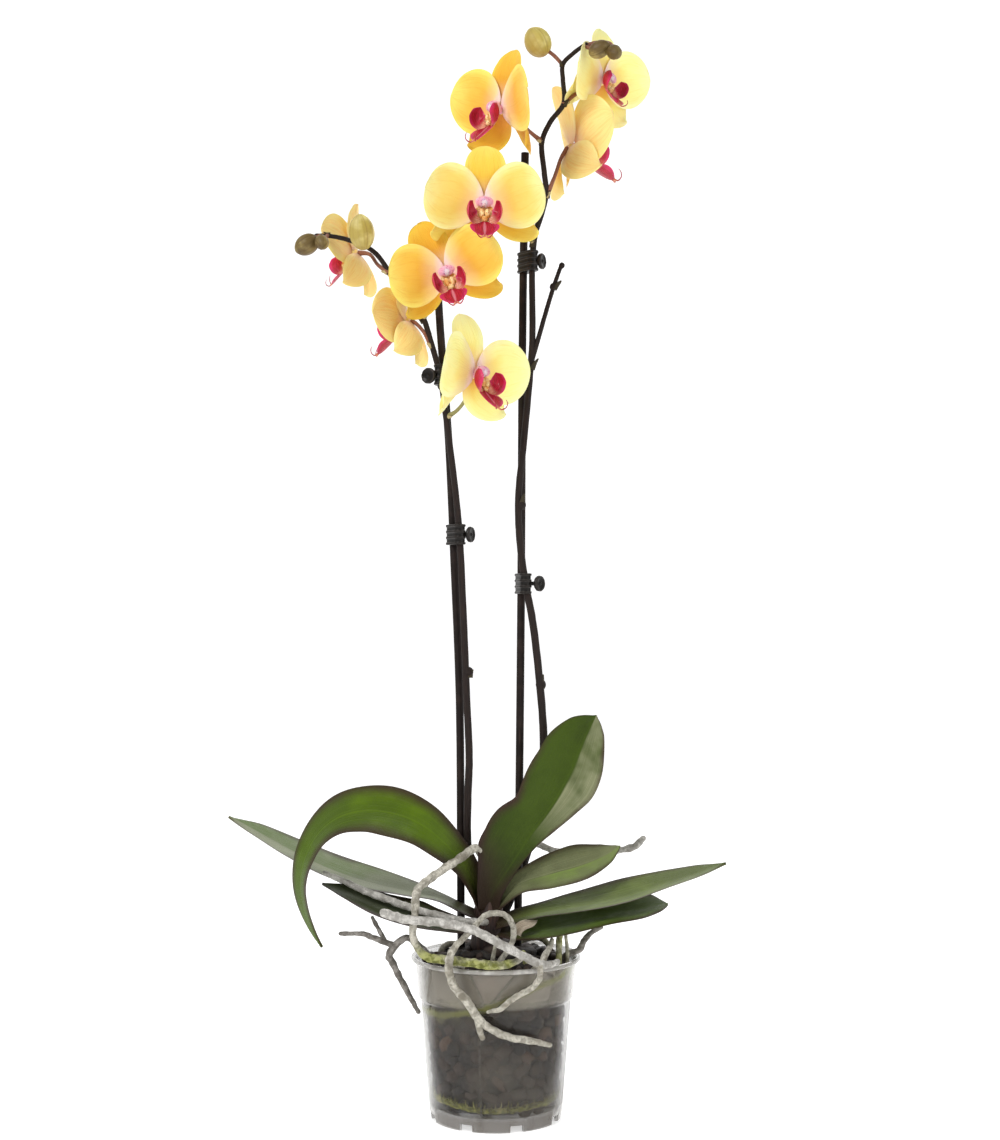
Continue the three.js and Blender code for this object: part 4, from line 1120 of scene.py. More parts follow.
STAKE_RADIUS = 2.8
STAKES = {
    "support_stake_left": [
        (-24, 5, 30), (-25, 5, 151), (-26, 5, 293), (-30, 5, 393), (-34, 5, 479), (-40, 5, 558),
        (-42, 5, 591),
    ],
    "support_stake_right": [(14.5, 5, 30), (16, 5, 165), (18, 5, 364), (19, 5, 544), (21, 5, 687)],
}
SPIKE_LEFT = [
    (-9, 6, 137), (-16, 7, 160), (-20, 3, 190), (-20, -3, 222), (-19, -3.5, 251), (-21, -3.5, 300),
    (-23, -3.5, 350), (-26, -3.5, 411), (-29, -3.5, 443), (-36, -3.5, 498), (-40, -3.5, 525),
    (-46, -3.5, 547), (-52, -3, 566), (-62, 0, 582), (-75, 2, 598), (-88, 3, 615), (-105, 3, 623),
    (-119, 2, 626), (-129, 0, 626),
]
SPIKE_RIGHT = [
    (3, 6, 134), (11, 10, 152), (23, 11, 185), (32, 7, 229), (34, 2, 264), (31, -2, 307),
    (26, -3.5, 350), (21, -3.5, 376), (17, -3.5, 407), (16, -3.5, 436), (20, -3.5, 478),
    (24, -3.5, 521), (26, -3.5, 550), (26, -3.5, 606), (28, -3.5, 626), (33, -3, 642), (36, -3, 656),
    (34.5, -3, 672), (33, -3, 693), (39, -4, 707), (48.5, -5, 720), (48, -5, 737), (48, -6, 748),
    (56, -11, 755), (64, -17, 759),
]
SIDE_SHOOT = [(25, -3.5, 533), (32, -4, 557), (39, -5, 581), (44, -6, 596), (47, -6, 604)]
# Scales that hug a spike at its joints: foot, direction of the tip, way it faces, length, radius.
Scale = namedtuple("Scale", "at along face length radius")
LEFT_SCALES = [
    Scale((-19.5, -3.4, 309), (0, 0, 1), (1, -0.4, 0), 6, 2.5),
    Scale((-38.6, -3.5, 516), (-0.25, 0, 1), (-0.6, -0.8, 0), 8, 2.4),
    Scale((-51, -3.2, 563), (-0.5, 0, 0.85), (-0.8, 0.2, 0.6), 6, 2.1),
    Scale((-74, 2, 597), (-0.6, 0, 0.8), (-0.7, 0.1, -0.7), 6, 2),
    Scale((-94, 3, 618), (-0.9, 0, 0.3), (-0.2, 0, 1), 5, 1.9),
    Scale((-119, 2, 626), (-1, 0, 0), (0, -0.4, 1), 5, 1.8),
]
RIGHT_SCALES = [
    Scale((31.6, -0.7, 301), (-0.15, 0, 1), (1, -0.5, 0), 10, 3),
    Scale((17.4, -3.5, 430), (0, 0, 1), (0.8, -0.6, 0), 10, 2.7),
    Scale((24.6, -3.5, 529), (0.3, 0, 1), (0.9, -0.4, 0), 9, 2.6),
    Scale((26, -3.5, 616), (0.3, 0, 1), (-0.7, -0.7, 0), 7, 2.4),
    Scale((35.6, -3, 652), (0, 0, 1), (1, -0.2, 0), 6, 2.3),
    Scale((33.4, -3, 690), (0.1, 0, 1), (-1, -0.2, 0), 6, 2.1),
    Scale((48, -5, 718), (0.3, 0, 1), (1, -0.3, 0), 6, 2),
    Scale((48, -6, 746), (0, 0, 1), (-1, -0.3, 0), 5, 1.8),
    Scale((41, -5.3, 586), (0.5, 0, 1), (0.8, -0.6, 0), 8, 2.1),
]
# Swollen joints of a spike: centre, radius, direction of the spike.
LEFT_JOINTS = [((-19.5, -3.4, 313), 3.5, (0.05, 0, 1)), ((-38.8, -3.5, 517), 3, (-0.2, 0, 1))]
RIGHT_JOINTS = [
    ((32, -0.5, 304), 3.7, (-0.15, 0, 1)),
    ((18, -3.5, 432), 3.5, (0, 0, 1)),
    ((41, -5.3, 588), 2.6, (0.5, 0, 1)),
    ((47, -6, 603), 2.1, (0.5, 0, 1)),
]
# Clips: the stake and the stem that they hold, their height, the knob and the way it faces.
Clip = namedtuple("Clip", "stake stem height knob faces")
CLIPS = [
    Clip((-31.2, 5), (-26, -3.5), 411, (-18.2, -1.5, 411), (0.9, -0.42, 0)),
    Clip((-37, 5), (-40, -3.5), 525, (-48, -6.5, 524), (-0.5, -0.87, 0)),
    Clip((20, 5), (26, -3.5), 607, (32.8, -2, 607), (0.9, -0.42, 0)),
    Clip((18.1, 5), (21, -3.5), 376, (31, -2, 376), (0.8, -0.6, 0)),
]
CLIP_WALL = 1.4
CLIP_HEIGHT = 14.5
CLIP_BANDS = 4
CLIP_BAND = 1.8
CLIP_PROUD = 0.6
BAND_ROUND = 0.15
BAND_SHOULDER = 0.45
BAND_GAP = 0.25
STEM_REACH = 2.5
KNOB_RADIUS = 5.6
KNOB_HALF = 1.5
KNOB_SIDES = 40
# The knob's outline: share of its half thickness, share of its radius, and how pale it is painted,
# which is partly wear and partly a painted highlight.
KNOB_PROFILE = [
    (-1.0, 0.5, 0), (-1.0, 0.8, 0), (-0.85, 0.93, 0.3), (-0.5, 1.0, 0.1), (0.5, 1.0, 0.1),
    (0.85, 0.93, 0.8), (1.0, 0.82, 0.2), (0.72, 0.7, 0), (0.6, 0.3, 0),
]


def taper(first, last, count):
    return [first + (last - first) * step / (count - 1) for step in range(count)]


def scale_leaf(shape, entry, look=0):
    """A small pointed scale that wraps round a stem at a joint."""
    along = Vector(entry.along).normalized()
    face = Vector(entry.face)
    face = (face - along * face.dot(along)).normalized()
    stations = []
    for share in spread(14):
        out = entry.radius + 0.4 + 0.5 * ease(0.5, 1, share)
        half = entry.radius * 1.35 * math.sqrt(max(1 - share**1.6, 0.003))
        spot = Vector(entry.at) + along * entry.length * share + face * out
        stations.append((spot, face, (half, half), -42 * (1 - share) - 8))
    blade(shape, stations, 12, 0.9, 0.35, 2, look=look)


def spike(routes, joints, scales):
    shape = Shape()
    for route, first, last in routes:
        tube(shape, route, taper(first, last, len(route)), sides=20, steps=8, rough=0.07, grain=0.35)
    for centre, radius, along in joints:
        ball(shape, centre, (radius, radius, radius * 1.1), upright_to(along), sides=24, rows=16)
    for entry in scales:
        scale_leaf(shape, entry)
    return shape


def sleeve_ring(entry, level, proud):
    """The outline of the clip's sleeve round its stake and its stem at one height."""
    stake, stem = Vector(entry.stake), Vector(entry.stem)
    gap = (stem - stake).length
    way = (stem - stake) / gap
    stake_reach = STAKE_RADIUS + CLIP_WALL + proud
    stem_reach = STEM_REACH + CLIP_WALL + proud
    lean = math.acos((stake_reach - stem_reach) / gap)
    start = math.atan2(way.y, way.x)
    arcs = [(stem, stem_reach, start - lean, lean), (stake, stake_reach, start + lean, math.pi - lean)]
    ring = []
    for centre, reach, first, half_turn in arcs:
        for share in spread(18):
            point = centre + outward(first + 2 * half_turn * share).xy * reach
            ring.append(Vector((point.x, point.y, level)))
    return ring


def clip(entry):
    """A sprung clip: a sleeve with four proud bands, and a round grip on a short neck."""
    shape = Shape()
    low = entry.height - CLIP_HEIGHT / 2
    pitch = (CLIP_HEIGHT - CLIP_BAND) / (CLIP_BANDS - 1)
    levels = []
    for band in range(CLIP_BANDS):
        foot = low + pitch * band
        # The third value of each level is how pale it is painted, most on the bands' rounded edges: partly
        # wear, partly a painted highlight.
        levels += [(foot, 0.15, 0), (foot + BAND_ROUND, 0.5, 1), (foot + BAND_SHOULDER, CLIP_PROUD, 0.2)]
        top = foot + CLIP_BAND
        levels += [(top - BAND_SHOULDER, CLIP_PROUD, 0.2), (top - BAND_ROUND, 0.5, 1), (top, 0.1, 0)]
        if band < CLIP_BANDS - 1:
            levels += [(top + BAND_GAP, 0, 0), (foot + pitch - BAND_GAP, 0, 0)]
    rings = [sleeve_ring(entry, level, proud) for level, proud, worn in levels]
    shape.skin(rings, [[(0, 0, worn)] * len(rings[0]) for level, proud, worn in levels])
    faces = Vector(entry.faces).normalized()
    knob = Vector(entry.knob)
    stem = Vector((*entry.stem, knob.z))
    tube(shape, [stem, (stem + knob) / 2, knob], [1.8, 1.5, 1.7], sides=14, steps=3)
    up = Vector((0, 0, 1))
    side = faces.cross(up).normalized()
    rings = []
    for offset, share, worn in KNOB_PROFILE:
        ring = []
        for step in range(KNOB_SIDES):
            angle = 2 * math.pi * step / KNOB_SIDES
            grip = 1.025 if step % 4 < 2 and abs(offset) < 0.9 else 1
            way = side * math.cos(angle) + up * math.sin(angle)
            ring.append(knob + faces * offset * KNOB_HALF + way * KNOB_RADIUS * share * grip)
        rings.append(ring)
    shape.skin(rings, [[(0, 0, worn)] * KNOB_SIDES for offset, share, worn in KNOB_PROFILE])
    return shape


# Roots

NO_GREEN = (2, 3)
# Each root has its look, the stretch that algae turn green, and its runs. Each point of a run
# is its place and its radius.
ROOTS = {
    "aerial_root_front": ("cream", (0.5, 0.95), [[
        (-4, -2, 166, 2.6), (-9, -12, 183, 2.8), (-14, -18, 190, 2.8), (-26, -30, 184, 2.9),
        (-43, -42, 174, 2.8), (-53, -50, 166, 2.8), (-55, -54, 150, 2.6), (-56, -55, 134, 2.5),
        (-48, -54, 122, 2.8), (-33, -55, 119.5, 3), (-17, -58, 118, 3), (-6, -59, 117, 3),
        (6, -59, 117, 2.7), (14, -56, 119, 2.4), (20, -52, 121, 1.8),
    ]]),
    "aerial_root_back": ("silver", NO_GREEN, [[
        (2, 2, 160, 2.4), (8, 16, 182, 2.4), (14, 20, 190, 2.4), (27, 24, 189, 2.5), (41, 25, 183, 2.5),
        (59, 23, 182, 2.5), (75, 21, 183, 2.4), (89, 19, 184, 2.4), (100, 17, 187, 2.5),
        (106, 15, 193, 2.0),
    ]]),
    "aerial_root_left": ("silver", NO_GREEN, [[
        (-7, -14, 138, 2.2), (-22, -20, 140, 2.4), (-38, -24, 144, 2.5), (-55, -25, 148.5, 2.7),
        (-72, -23, 154, 2.7), (-90, -20, 160, 2.5), (-108, -18, 168, 2.1), (-120, -18, 173, 1.5),
    ]]),
    "aerial_root_across": ("silver", NO_GREEN, [[
        (-76, -53, 151, 3), (-62, -60, 148, 3), (-49, -62, 147, 3), (-32, -62, 145, 3),
        (-15, -63, 141, 3), (3, -64, 132, 2.9), (20, -64, 123, 2.8), (33, -57, 116.6, 2.7),
        (42, -47, 116.6, 2),
    ]]),
    "aerial_root_over_rim": ("cream", NO_GREEN, [
        [
            (0, -34, 110, 2), (7, -36, 121, 2), (12, -38, 131, 2), (11, -42, 142, 2),
            (4, -47, 149.5, 2), (-7, -52, 149, 2), (-16, -56, 140, 2), (-25, -61, 132, 2.2),
            (-31, -64, 123, 2.6), (-31, -62, 112, 2.8), (-27, -57, 100, 2.8), (-19, -58, 92, 2.8),
            (-13, -58, 82, 2.8), (-4, -58, 74, 2.6), (9, -57, 68, 2.5), (22, -54, 65, 2.3),
            (37, -46, 60, 1.6),
        ],
        [(-13, -58, 82, 2.4), (-11, -59, 74, 2.2), (-9, -59, 68, 1.8)],
    ]),
    "aerial_root_hanging": ("dull", NO_GREEN, [
        [
            (-38, -24, 108, 2.2), (-50, -32, 122, 2.3), (-61, -31, 130, 2.4), (-70, -29, 124, 2.6),
            (-74, -27, 117, 2.6), (-71, -25, 110, 2.4), (-65, -24, 98, 2.2), (-60, -22, 88, 2),
            (-54, -21, 77, 1.6),
        ],
        [(-70, -29, 124, 2.2), (-83, -28, 129, 2), (-92, -27, 132, 1.8), (-108, -26, 132, 1.4)],
        [(-76, -28, 126, 1.6), (-79, -27, 131, 1.6), (-83, -26, 138, 1.5), (-86, -25, 143, 1.2)],
    ]),
    "aerial_root_wall": ("cream", NO_GREEN, [[
        (24, -42, 108, 1.8), (29, -54, 116.4, 1.9), (30, -61, 116, 2), (29.5, -60, 108, 2),
        (24, -55, 100, 2), (17, -57, 97, 2), (9, -58.5, 92, 1.9), (3, -58, 87, 1.8),
        (-5, -57.5, 85, 1.3),
    ]]),
    "aerial_root_right": ("dull", NO_GREEN, [[
        (43, -12, 106, 2), (50, -12, 115, 2.2), (58, -12, 118, 2.3), (62, -10, 124, 2.1),
        (67, -6, 129, 1.8), (75, 0, 132, 1.3),
    ]]),
}
# Short roots that stand in the bark: how green they are, and their run from foot to end.
STUBS = [
    (0.0, [(32, -40, 108, 2.4), (33, -38, 117, 2.2), (38, -31, 125, 2), (39, -28, 128, 1.6)]),
    (0.8, [(44, -21, 107, 2), (44, -20, 121, 2.2), (45, -18, 133, 2.2)]),
    (0.2, [(50, -16, 106, 1.3), (50, -15, 118, 1.3), (49, -14, 130, 1.2)]),
    (0.9, [(22, -34, 107, 2.2), (21, -36, 114, 2.2), (19, -38, 121, 1.9)]),
    (0.1, [(-3, -30, 108, 1.5), (-1, -34, 122, 1.4), (1, -33, 131, 1.1)]),
    (0.1, [(-34, -34, 106, 1.8), (-31, -40, 112, 1.9), (-24, -42, 113, 1.8), (-16, -38, 108, 1.5)]),
    (0.3, [(8, 30, 106, 2), (20, 34, 117, 2.2), (34, 30, 118, 2.1), (42, 22, 108, 1.7)]),
    (0.0, [(-20, 28, 107, 2), (-30, 24, 116, 2.1), (-38, 14, 115, 2.1), (-42, 4, 107, 1.7)]),
]
DRY_BRACT = [
    ((14, -20, 129), (0.1, -0.95, 0.3), (3, 3), 30),
    ((17, -24, 134), (0.1, -0.9, 0.4), (5.4, 5), 40),
    ((21, -26.5, 137), (-0.1, -0.85, 0.5), (5.4, 4.6), 44),
    ((25, -27, 138.5), (-0.2, -0.85, 0.5), (3.6, 3.4), 40),
    ((29, -26, 141.5), (-0.3, -0.8, 0.5), (0.9, 0.9), 20),
]


def root_piece(runs, green):
    shape = Shape()
    low, high = green

    def tone(share):
        return ease(low, low + 0.08, share) * (1 - ease(high - 0.08, high, share))

    for run in runs:
        root_run(shape, run, sides=22, steps=10, tone=tone, rough=0.3, grain=0.3)
    return shape


def short_roots():
    shape = Shape()
    for green, run in STUBS:
        root_run(shape, run, sides=18, steps=8, tone=lambda share: green, rough=0.25)
    return shape


# Flowers

# petals and sepals are the angles of their blades and roll the turn of the lip, in degrees.
Flower = namedtuple("Flower", "centre facing petals sepals roll size look stalk_look stalk")
FLOWERS = [
    Flower((-8, -48, 636), (0.03, -1, -0.12), (17, 165), (88, -24, -154), 0, 1,
           "golden", "stalk_green", [(27, -3.5, 621), (20, -12, 623), (9, -29, 630)]),
    Flower((3, -20, 711), (-0.75, -0.66, -0.1), (7, 155), (76, -50, -154), -2, 1,
           "amber", "stalk_pink", [(33, -3, 693), (25, -5, 699), (14, -12, 707)]),
    Flower((58, 21, 695), (0.93, 0.34, 0.14), (4, 164), (88, -36, -150), 0, 1.08,
           "cream", "stalk_pink", [(36, -3, 653), (42, -1, 668), (47, 9, 684)]),
    Flower((78, 6, 740), (0.68, -0.72, -0.12), (12, 174), (88, -44, -158), -18, 0.9,
           "lemon", "stalk_pink", [(48.5, -5, 720), (57, 0, 728), (67, 8, 735)]),
    Flower((-34, -39, 590.5), (0.05, -0.99, -0.12), (34, 184), (121, -10, -136), 16, 0.96,
           "amber", "stalk_pink", [(-52, -3, 566), (-46, -7, 573), (-38, -20, 584)]),
    Flower((-14, -37, 521), (0.7, -0.7, -0.1), (8, 170), (104, -40, -140), -4, 1,
           "lemon", "stalk_green", [(-35, -3.5, 495), (-28, -6, 499), (-20, -16, 509)]),
    Flower((-66, 2, 564), (-0.95, 0.27, -0.1), (4, 170), (60, -44, -130), 0, 0.88,
           "cream", "stalk_pink", [(-46, -3.5, 545), (-51, -3, 555), (-57, -2, 562)]),
    Flower((-106, 35, 620), (-0.95, 0.27, -0.1), (24, 170), (86, -48, -130), -30, 0.85,
           "cream", "stalk_pink", [(-78, 2, 600), (-85, 7, 606), (-92, 20, 616.5)]),
]
# A petal or sepal starts and reaches out this far from the middle of its flower. widest is the
# share of its length where its half is met, fullness how soon it fills out from its foot, sweep
# how far the tip bends forward, fold the lift of both sides and lean the turn of its lower side
# to the back, both in degrees. plane is where it lies along the flower's own axis.
Tepal = namedtuple("Tepal", "start reach half widest fullness plane lean sweep fold columns")
PETAL = Tepal(
    start=2, reach=40, half=23, widest=0.56, fullness=0.75, plane=0, lean=0, sweep=12, fold=-5, columns=30
)
DORSAL_SEPAL = Tepal(
    start=1, reach=41, half=14.5, widest=0.6, fullness=1, plane=-3, lean=0, sweep=-7, fold=8, columns=22
)
LATERAL_SEPAL = Tepal(
    start=1, reach=39, half=14, widest=0.6, fullness=1, plane=-4, lean=32, sweep=6, fold=2, columns=22
)
TEPAL_THICK = (1.0, 0.45)
TEPAL_CREASE = 1.7
TEPAL_WAVE = 1.1
FOOT_BACK = 0.06
SEED_STEP = 3.7
HUB_ROUTE = [(0, 0, -6), (0, 0, -4), (0, 0, -2.5)]
HUB_RADII = [2, 3.2, 3.4]
COLUMN_ROUTE = [(0, 0, -2.2), (0, 0.5, 1.4), (0, 1, 4.4), (0, 1.4, 7)]
COLUMN_RADII = [3.1, 3.2, 3.3, 3.4]
CAP_PLACE = (0, 1.9, 6.8)
CAP_HALF = (6.4, 3.9, 3.2)
LIP_MIDDLE = [
    ((0, -4, 3), (0, 0.55, 0.83), (2.5, 2.5), 10),
    ((0, -8.5, 7), (0, 0.62, 0.78), (2.6, 2.6), 10),
    ((0, -12.4, 11), (0, 0.66, 0.75), (3, 3), 0),
    ((0, -15, 14), (0, 0.76, 0.65), (9, 9), 10),
    ((0, -17.8, 17.6), (0, 0.8, 0.6), (10.4, 10.4), 12),
    ((0, -20.2, 21), (0, 0.82, 0.57), (8.6, 8.6), 10),
    ((0, -22, 23.6), (0, 0.8, 0.6), (5, 5), 6),
    ((0, -23.2, 25.4), (0, 0.78, 0.62), (1.4, 1.4), 0),
]
LIP_SIDE = [
    ((3, -12, 11.5), (-0.5, 0.3, 0.8), (2.4, 2.4), 0),
    ((7, -11, 12), (-0.7, 0.2, 0.68), (5, 5), 20),
    ((10.4, -8, 12.2), (-0.82, 0.05, 0.57), (7.2, 7.2), 32),
    ((11.4, -4.5, 12), (-0.85, 0, 0.53), (8, 8), 36),
    ((10.6, -0.8, 11.6), (-0.85, -0.1, 0.53), (6, 6), 32),
    ((8.2, 2.4, 11.2), (-0.83, -0.2, 0.53), (3.4, 3.4), 14),
]
# The pale floor of the lip's cup, between its side lobes and under the column.
THROAT = [
    ((0, -0.5, 4), (0, 0.1, 0.99), (4.2, 4.2), 14),
    ((0, -4.5, 6), (0, 0.25, 0.97), (6.6, 6.6), 24),
    ((0, -8.5, 7.8), (0, 0.35, 0.94), (6.6, 6.6), 24),
    ((0, -11.5, 10), (0, 0.5, 0.86), (4, 4), 12),
    ((0, -13, 12), (0, 0.6, 0.8), (1.4, 1.4), 4),
]
LIP_DRAWN = 0.82
CALLUS_BUMPS = [
    ((-2, -6.4, 10.2), (1.9, 3.3, 2)),
    ((2, -6.4, 10.2), (1.9, 3.3, 2)),
    ((0, -10, 11.6), (2.2, 2.1, 1.8)),
]
TENDRIL = [(0.7, -22.8, 25), (2.6, -24.2, 27.2), (5, -22.4, 28.8), (6.4, -19.2, 28.4), (6, -17, 27.2)]
TENDRIL_RADII = [0.8, 0.5, 0.38, 0.3, 0.18]


def flower_frame(flower, roll=0):
    """The matrix that carries a flower's own millimetres to those of the pot's axis."""
    front = Vector(flower.facing).normalized()
    up = (Vector((0, 0, 1)) - front * front.z).normalized()
    up.rotate(Quaternion(front, math.radians(roll)))
    right = up.cross(front)
    turned = Matrix((right, up, front)).transposed().to_4x4()
    return Matrix.Translation(flower.centre) @ turned @ Matrix.Scale(flower.size, 4)


def half_width(share, kind):
    if share < kind.widest:
        back = (kind.widest - share) / (kind.widest + FOOT_BACK)
        return kind.half * (1 - back * back) ** kind.fullness
    past = (share - kind.widest) / (1 - kind.widest)
    return kind.half * math.sqrt(max(1 - past * past, 0.0004))


def tepal_shares(widest):
    """Rows along a petal, closer together towards its rounded end."""
    first = [widest * share for share in spread(18)]
    rest = [widest + (1 - widest) * math.sin(math.pi / 2 * share) for share in spread(16)[1:]]
    return first + rest


def tepal(shape, kind, angle, matrix, seed, look=0):
    """One petal or sepal, a thin waved blade that runs out at an angle in the flower's plane."""
    way = outward(math.radians(angle))
    lean = math.radians(kind.lean)
    inward = -1 if way.x > 0 else 1
    face = Vector((-way.y * inward * math.sin(lean), way.x * inward * math.sin(lean), math.cos(lean)))
    stations = []
    for share in tepal_shares(kind.widest):
        half = half_width(share, kind)
        rise = kind.plane + kind.sweep * share * share - half * math.sin(lean)
        centre = way * (kind.start + kind.reach * share) + Vector((0, 0, rise))
        stations.append((centre, face, (half, half), kind.fold))

    def ripple(share, across):
        wave = noise.noise(Vector((share * 2.6 + seed, across * 1.3, seed)))
        frill = noise.noise(Vector((share * 7, across * 2, seed + 9)))
        lift = wave * 1.6 * abs(across) + frill * 0.45 * abs(across) ** 3
        return TEPAL_WAVE * lift * ease(0.1, 0.5, share)

    stations = carried(stations, matrix)
    blade(shape, stations, kind.columns, *TEPAL_THICK, TEPAL_CREASE, look=look, ripple=ripple)


def sepals_and_stalk(flower, seed):
    """Three sepals, the hub behind them and the stalk back to the spike."""
    shape = Shape()
    matrix = flower_frame(flower)
    upper, *lower = flower.sepals
    tepal(shape, DORSAL_SEPAL, upper, matrix, seed + 1)
    for number, angle in enumerate(lower):
        tepal(shape, LATERAL_SEPAL, angle, matrix, seed + 2 + number * SEED_STEP, look=2)
    hub = [matrix @ Vector(point) for point in HUB_ROUTE]
    tube(shape, hub, HUB_RADII, sides=18, steps=4)
    route = [Vector(point) for point in flower.stalk] + hub[:1]
    tube(shape, route, [1.9, 1.35, 1.4, 1.9], sides=16, steps=8, look=1, rough=0.06, grain=0.5)
    way = (route[1] - route[0]).normalized()
    scale_leaf(shape, Scale(route[0] - way, way, (0, -0.5, -0.8), 5, 1.6), look=1)
    return shape


def petals(flower, seed):
    shape = Shape()
    for number, angle in enumerate(flower.petals):
        tepal(shape, PETAL, angle, flower_frame(flower), seed + number * SEED_STEP)
    return shape


def carried(stations, matrix):
    scale = matrix.to_scale().x
    spin = matrix.to_quaternion()
    return [
        (matrix @ spot, spin @ face, (halves[0] * scale, halves[1] * scale), fold)
        for spot, face, halves, fold in stations
    ]


def lip_and_column(flower):
    """The three-lobed lip, its callus and tendrils, and the column above it."""
    shape = Shape()
    matrix = flower_frame(flower, flower.roll)
    spin = matrix.to_quaternion()
    scale = matrix.to_scale().x
    blade(shape, carried(resampled(LIP_MIDDLE, 34, LIP_DRAWN), matrix), 18, 1.5, 0.6, 1.5, tone=1.0)
    blade(shape, carried(resampled(THROAT, 22, LIP_DRAWN), matrix), 16, 1.1, 0.5, 1.6, look=1)
    for mirror, inward in ((False, -1), (True, 1)):
        first = len(shape.paint)
        blade(shape, carried(resampled(LIP_SIDE, 26, LIP_DRAWN, mirror), matrix), 16, 1.3, 0.5, 1.6)
        for index in range(first, len(shape.paint)):
            along, across, side = shape.paint[index]
            shape.paint[index] = (along, across, side * (SIDE_LOBE + max(across * inward, 0)))
    for centre, half in CALLUS_BUMPS:
        half = [size * scale for size in half]
        ball(shape, matrix @ Vector(centre), half, spin, sides=16, rows=10, look=1)
    column = [matrix @ Vector(point) for point in COLUMN_ROUTE]
    tube(shape, column, [radius * scale for radius in COLUMN_RADII], sides=24, steps=6, look=2)
    cap = [size * scale for size in CAP_HALF]
    ball(shape, matrix @ Vector(CAP_PLACE), cap, spin, sides=24, rows=14, look=2, tone=1.0)
    for sign in (-1, 1):
        route = [matrix @ Vector((x * sign, y, z)) for x, y, z in TENDRIL]
        tube(shape, route, [radius * scale for radius in TENDRIL_RADII], sides=8, steps=6)
    return shape


# Buds

Bud = namedtuple("Bud", "at along half look stalk")
BUDS = [
    Bud((30, -6, 764), (-0.5, 0, 0.87), (9.6, 11), "bud_green",
        [(47.5, -6, 748), (42, -6, 754), (37, -6, 758)]),
    Bud((73, -27, 752), (0.7, -0.2, 0.3), (6.2, 8), "bud_olive", [(63, -16, 758), (67, -20, 755)]),
    Bud((83, -33, 748), (0.2, -0.7, -0.3), (5.2, 7.6), "bud_olive",
        [(63, -16, 758), (71, -14, 761), (80, -22, 758)]),
    Bud((-96, -5, 627), (-0.1, -0.3, 0.95), (9.2, 12.6), "bud_green", [(-95, 3, 619.5), (-96, 0, 621)]),
    Bud((-135.5, -2, 619), (-0.8, 0, -0.5), (7.4, 9.2), "bud_olive", [(-127, 0, 626), (-130, -1, 624)]),
    Bud((-124, -10, 619), (0.2, -0.6, -0.6), (5, 6.6), "bud_olive", [(-121, 0, 626), (-122, -5, 623)]),
]
BUD_SEAM_DEPTH = 0.05
BUD_SEAM_WIDTH = 0.16


def bud(entry):
    """A closed bud with three seams, a blunt point and a short stalk."""
    shape = Shape()

    def wobble(way, angle, dip):
        turn = (angle / (2 * math.pi) * 3) % 1
        seam = math.exp(-(((turn - 0.5) / BUD_SEAM_WIDTH * 2) ** 2))
        nose = 1 + 0.05 * math.exp(-((dip / 0.35) ** 2))
        return nose * (1 - BUD_SEAM_DEPTH * seam * math.sin(dip))

    wide, tall = entry.half
    ball(shape, entry.at, (wide, wide, tall), upright_to(entry.along), sides=48, rows=30, wobble=wobble)
    route = [*entry.stalk, entry.at]
    tube(shape, route, [1.4] * (len(route) - 1) + [1.9], sides=14, steps=6, look=1)
    return shape


# Making the pieces

# Sepals that are deeper in colour than the petals of the same flower.
DORSAL_LOOKS = {"golden": "deep", "amber": "burnt"}
# Each kind of petal has four colours: the inner part and the veins, the body, the rim, the back.
TEPAL_COLOURS = {
    "golden": ((0.80, 0.45, 0.06), (0.83, 0.61, 0.14), (0.89, 0.83, 0.36), (0.84, 0.56, 0.12)),
    "deep": ((0.74, 0.38, 0.03), (0.83, 0.56, 0.06), (0.88, 0.72, 0.15), (0.80, 0.46, 0.06)),
    "amber": ((0.74, 0.32, 0.025), (0.83, 0.49, 0.06), (0.90, 0.74, 0.16), (0.80, 0.45, 0.06)),
    "burnt": ((0.66, 0.27, 0.012), (0.76, 0.41, 0.028), (0.82, 0.56, 0.06), (0.76, 0.38, 0.03)),
    "cream": ((0.90, 0.46, 0.11), (0.95, 0.68, 0.22), (0.96, 0.84, 0.34), (0.97, 0.74, 0.28)),
    "lemon": ((0.93, 0.70, 0.14), (0.95, 0.88, 0.32), (0.96, 0.94, 0.48), (0.94, 0.78, 0.22)),
}
# Leaves: upper and under colour, where the purple of the rim begins, sheen, right half.
LEAF_COLOURS = {
    "bright": ((0.08, 0.14, 0.002), (0.11, 0.16, 0.03), 0.42, 0.34),
    # The upright leaf's right half is a painted pale sheen, where its fold faces the light.
    "upright": ((0.032, 0.056, 0.001), (0.09, 0.13, 0.03), 0.78, 0.4, (0.26, 0.27, 0.15)),
    "grey": ((0.115, 0.155, 0.03), (0.15, 0.18, 0.07), 0.66, 0.42),
    # The long left leaf: a painted grey sheen on its near half, its own green on the far (right) half.
    "two_toned": ((0.15, 0.17, 0.085), (0.16, 0.18, 0.08), 0.72, 0.42, (0.10, 0.16, 0.03)),
    "dark": ((0.045, 0.055, 0.025), (0.09, 0.10, 0.06), 0.6, 0.4),
    "middle": ((0.08, 0.125, 0.018), (0.12, 0.15, 0.055), 0.62, 0.4),
    # The small right leaf: a painted purple-grey sheen on its upper half, its own green on the lower
    # (right) half.
    "young": ((0.15, 0.165, 0.075), (0.22, 0.26, 0.10), 0.6, 0.38, (0.20, 0.29, 0.06)),
}
# Roots: pale, grey and dirty skin.
ROOT_COLOURS = {
    "cream": ((0.60, 0.57, 0.49), (0.32, 0.30, 0.25), (0.13, 0.11, 0.075)),
    "silver": ((0.62, 0.60, 0.56), (0.38, 0.365, 0.335), (0.18, 0.165, 0.14)),
    "dull": ((0.30, 0.28, 0.255), (0.14, 0.128, 0.112), (0.07, 0.06, 0.048)),
}
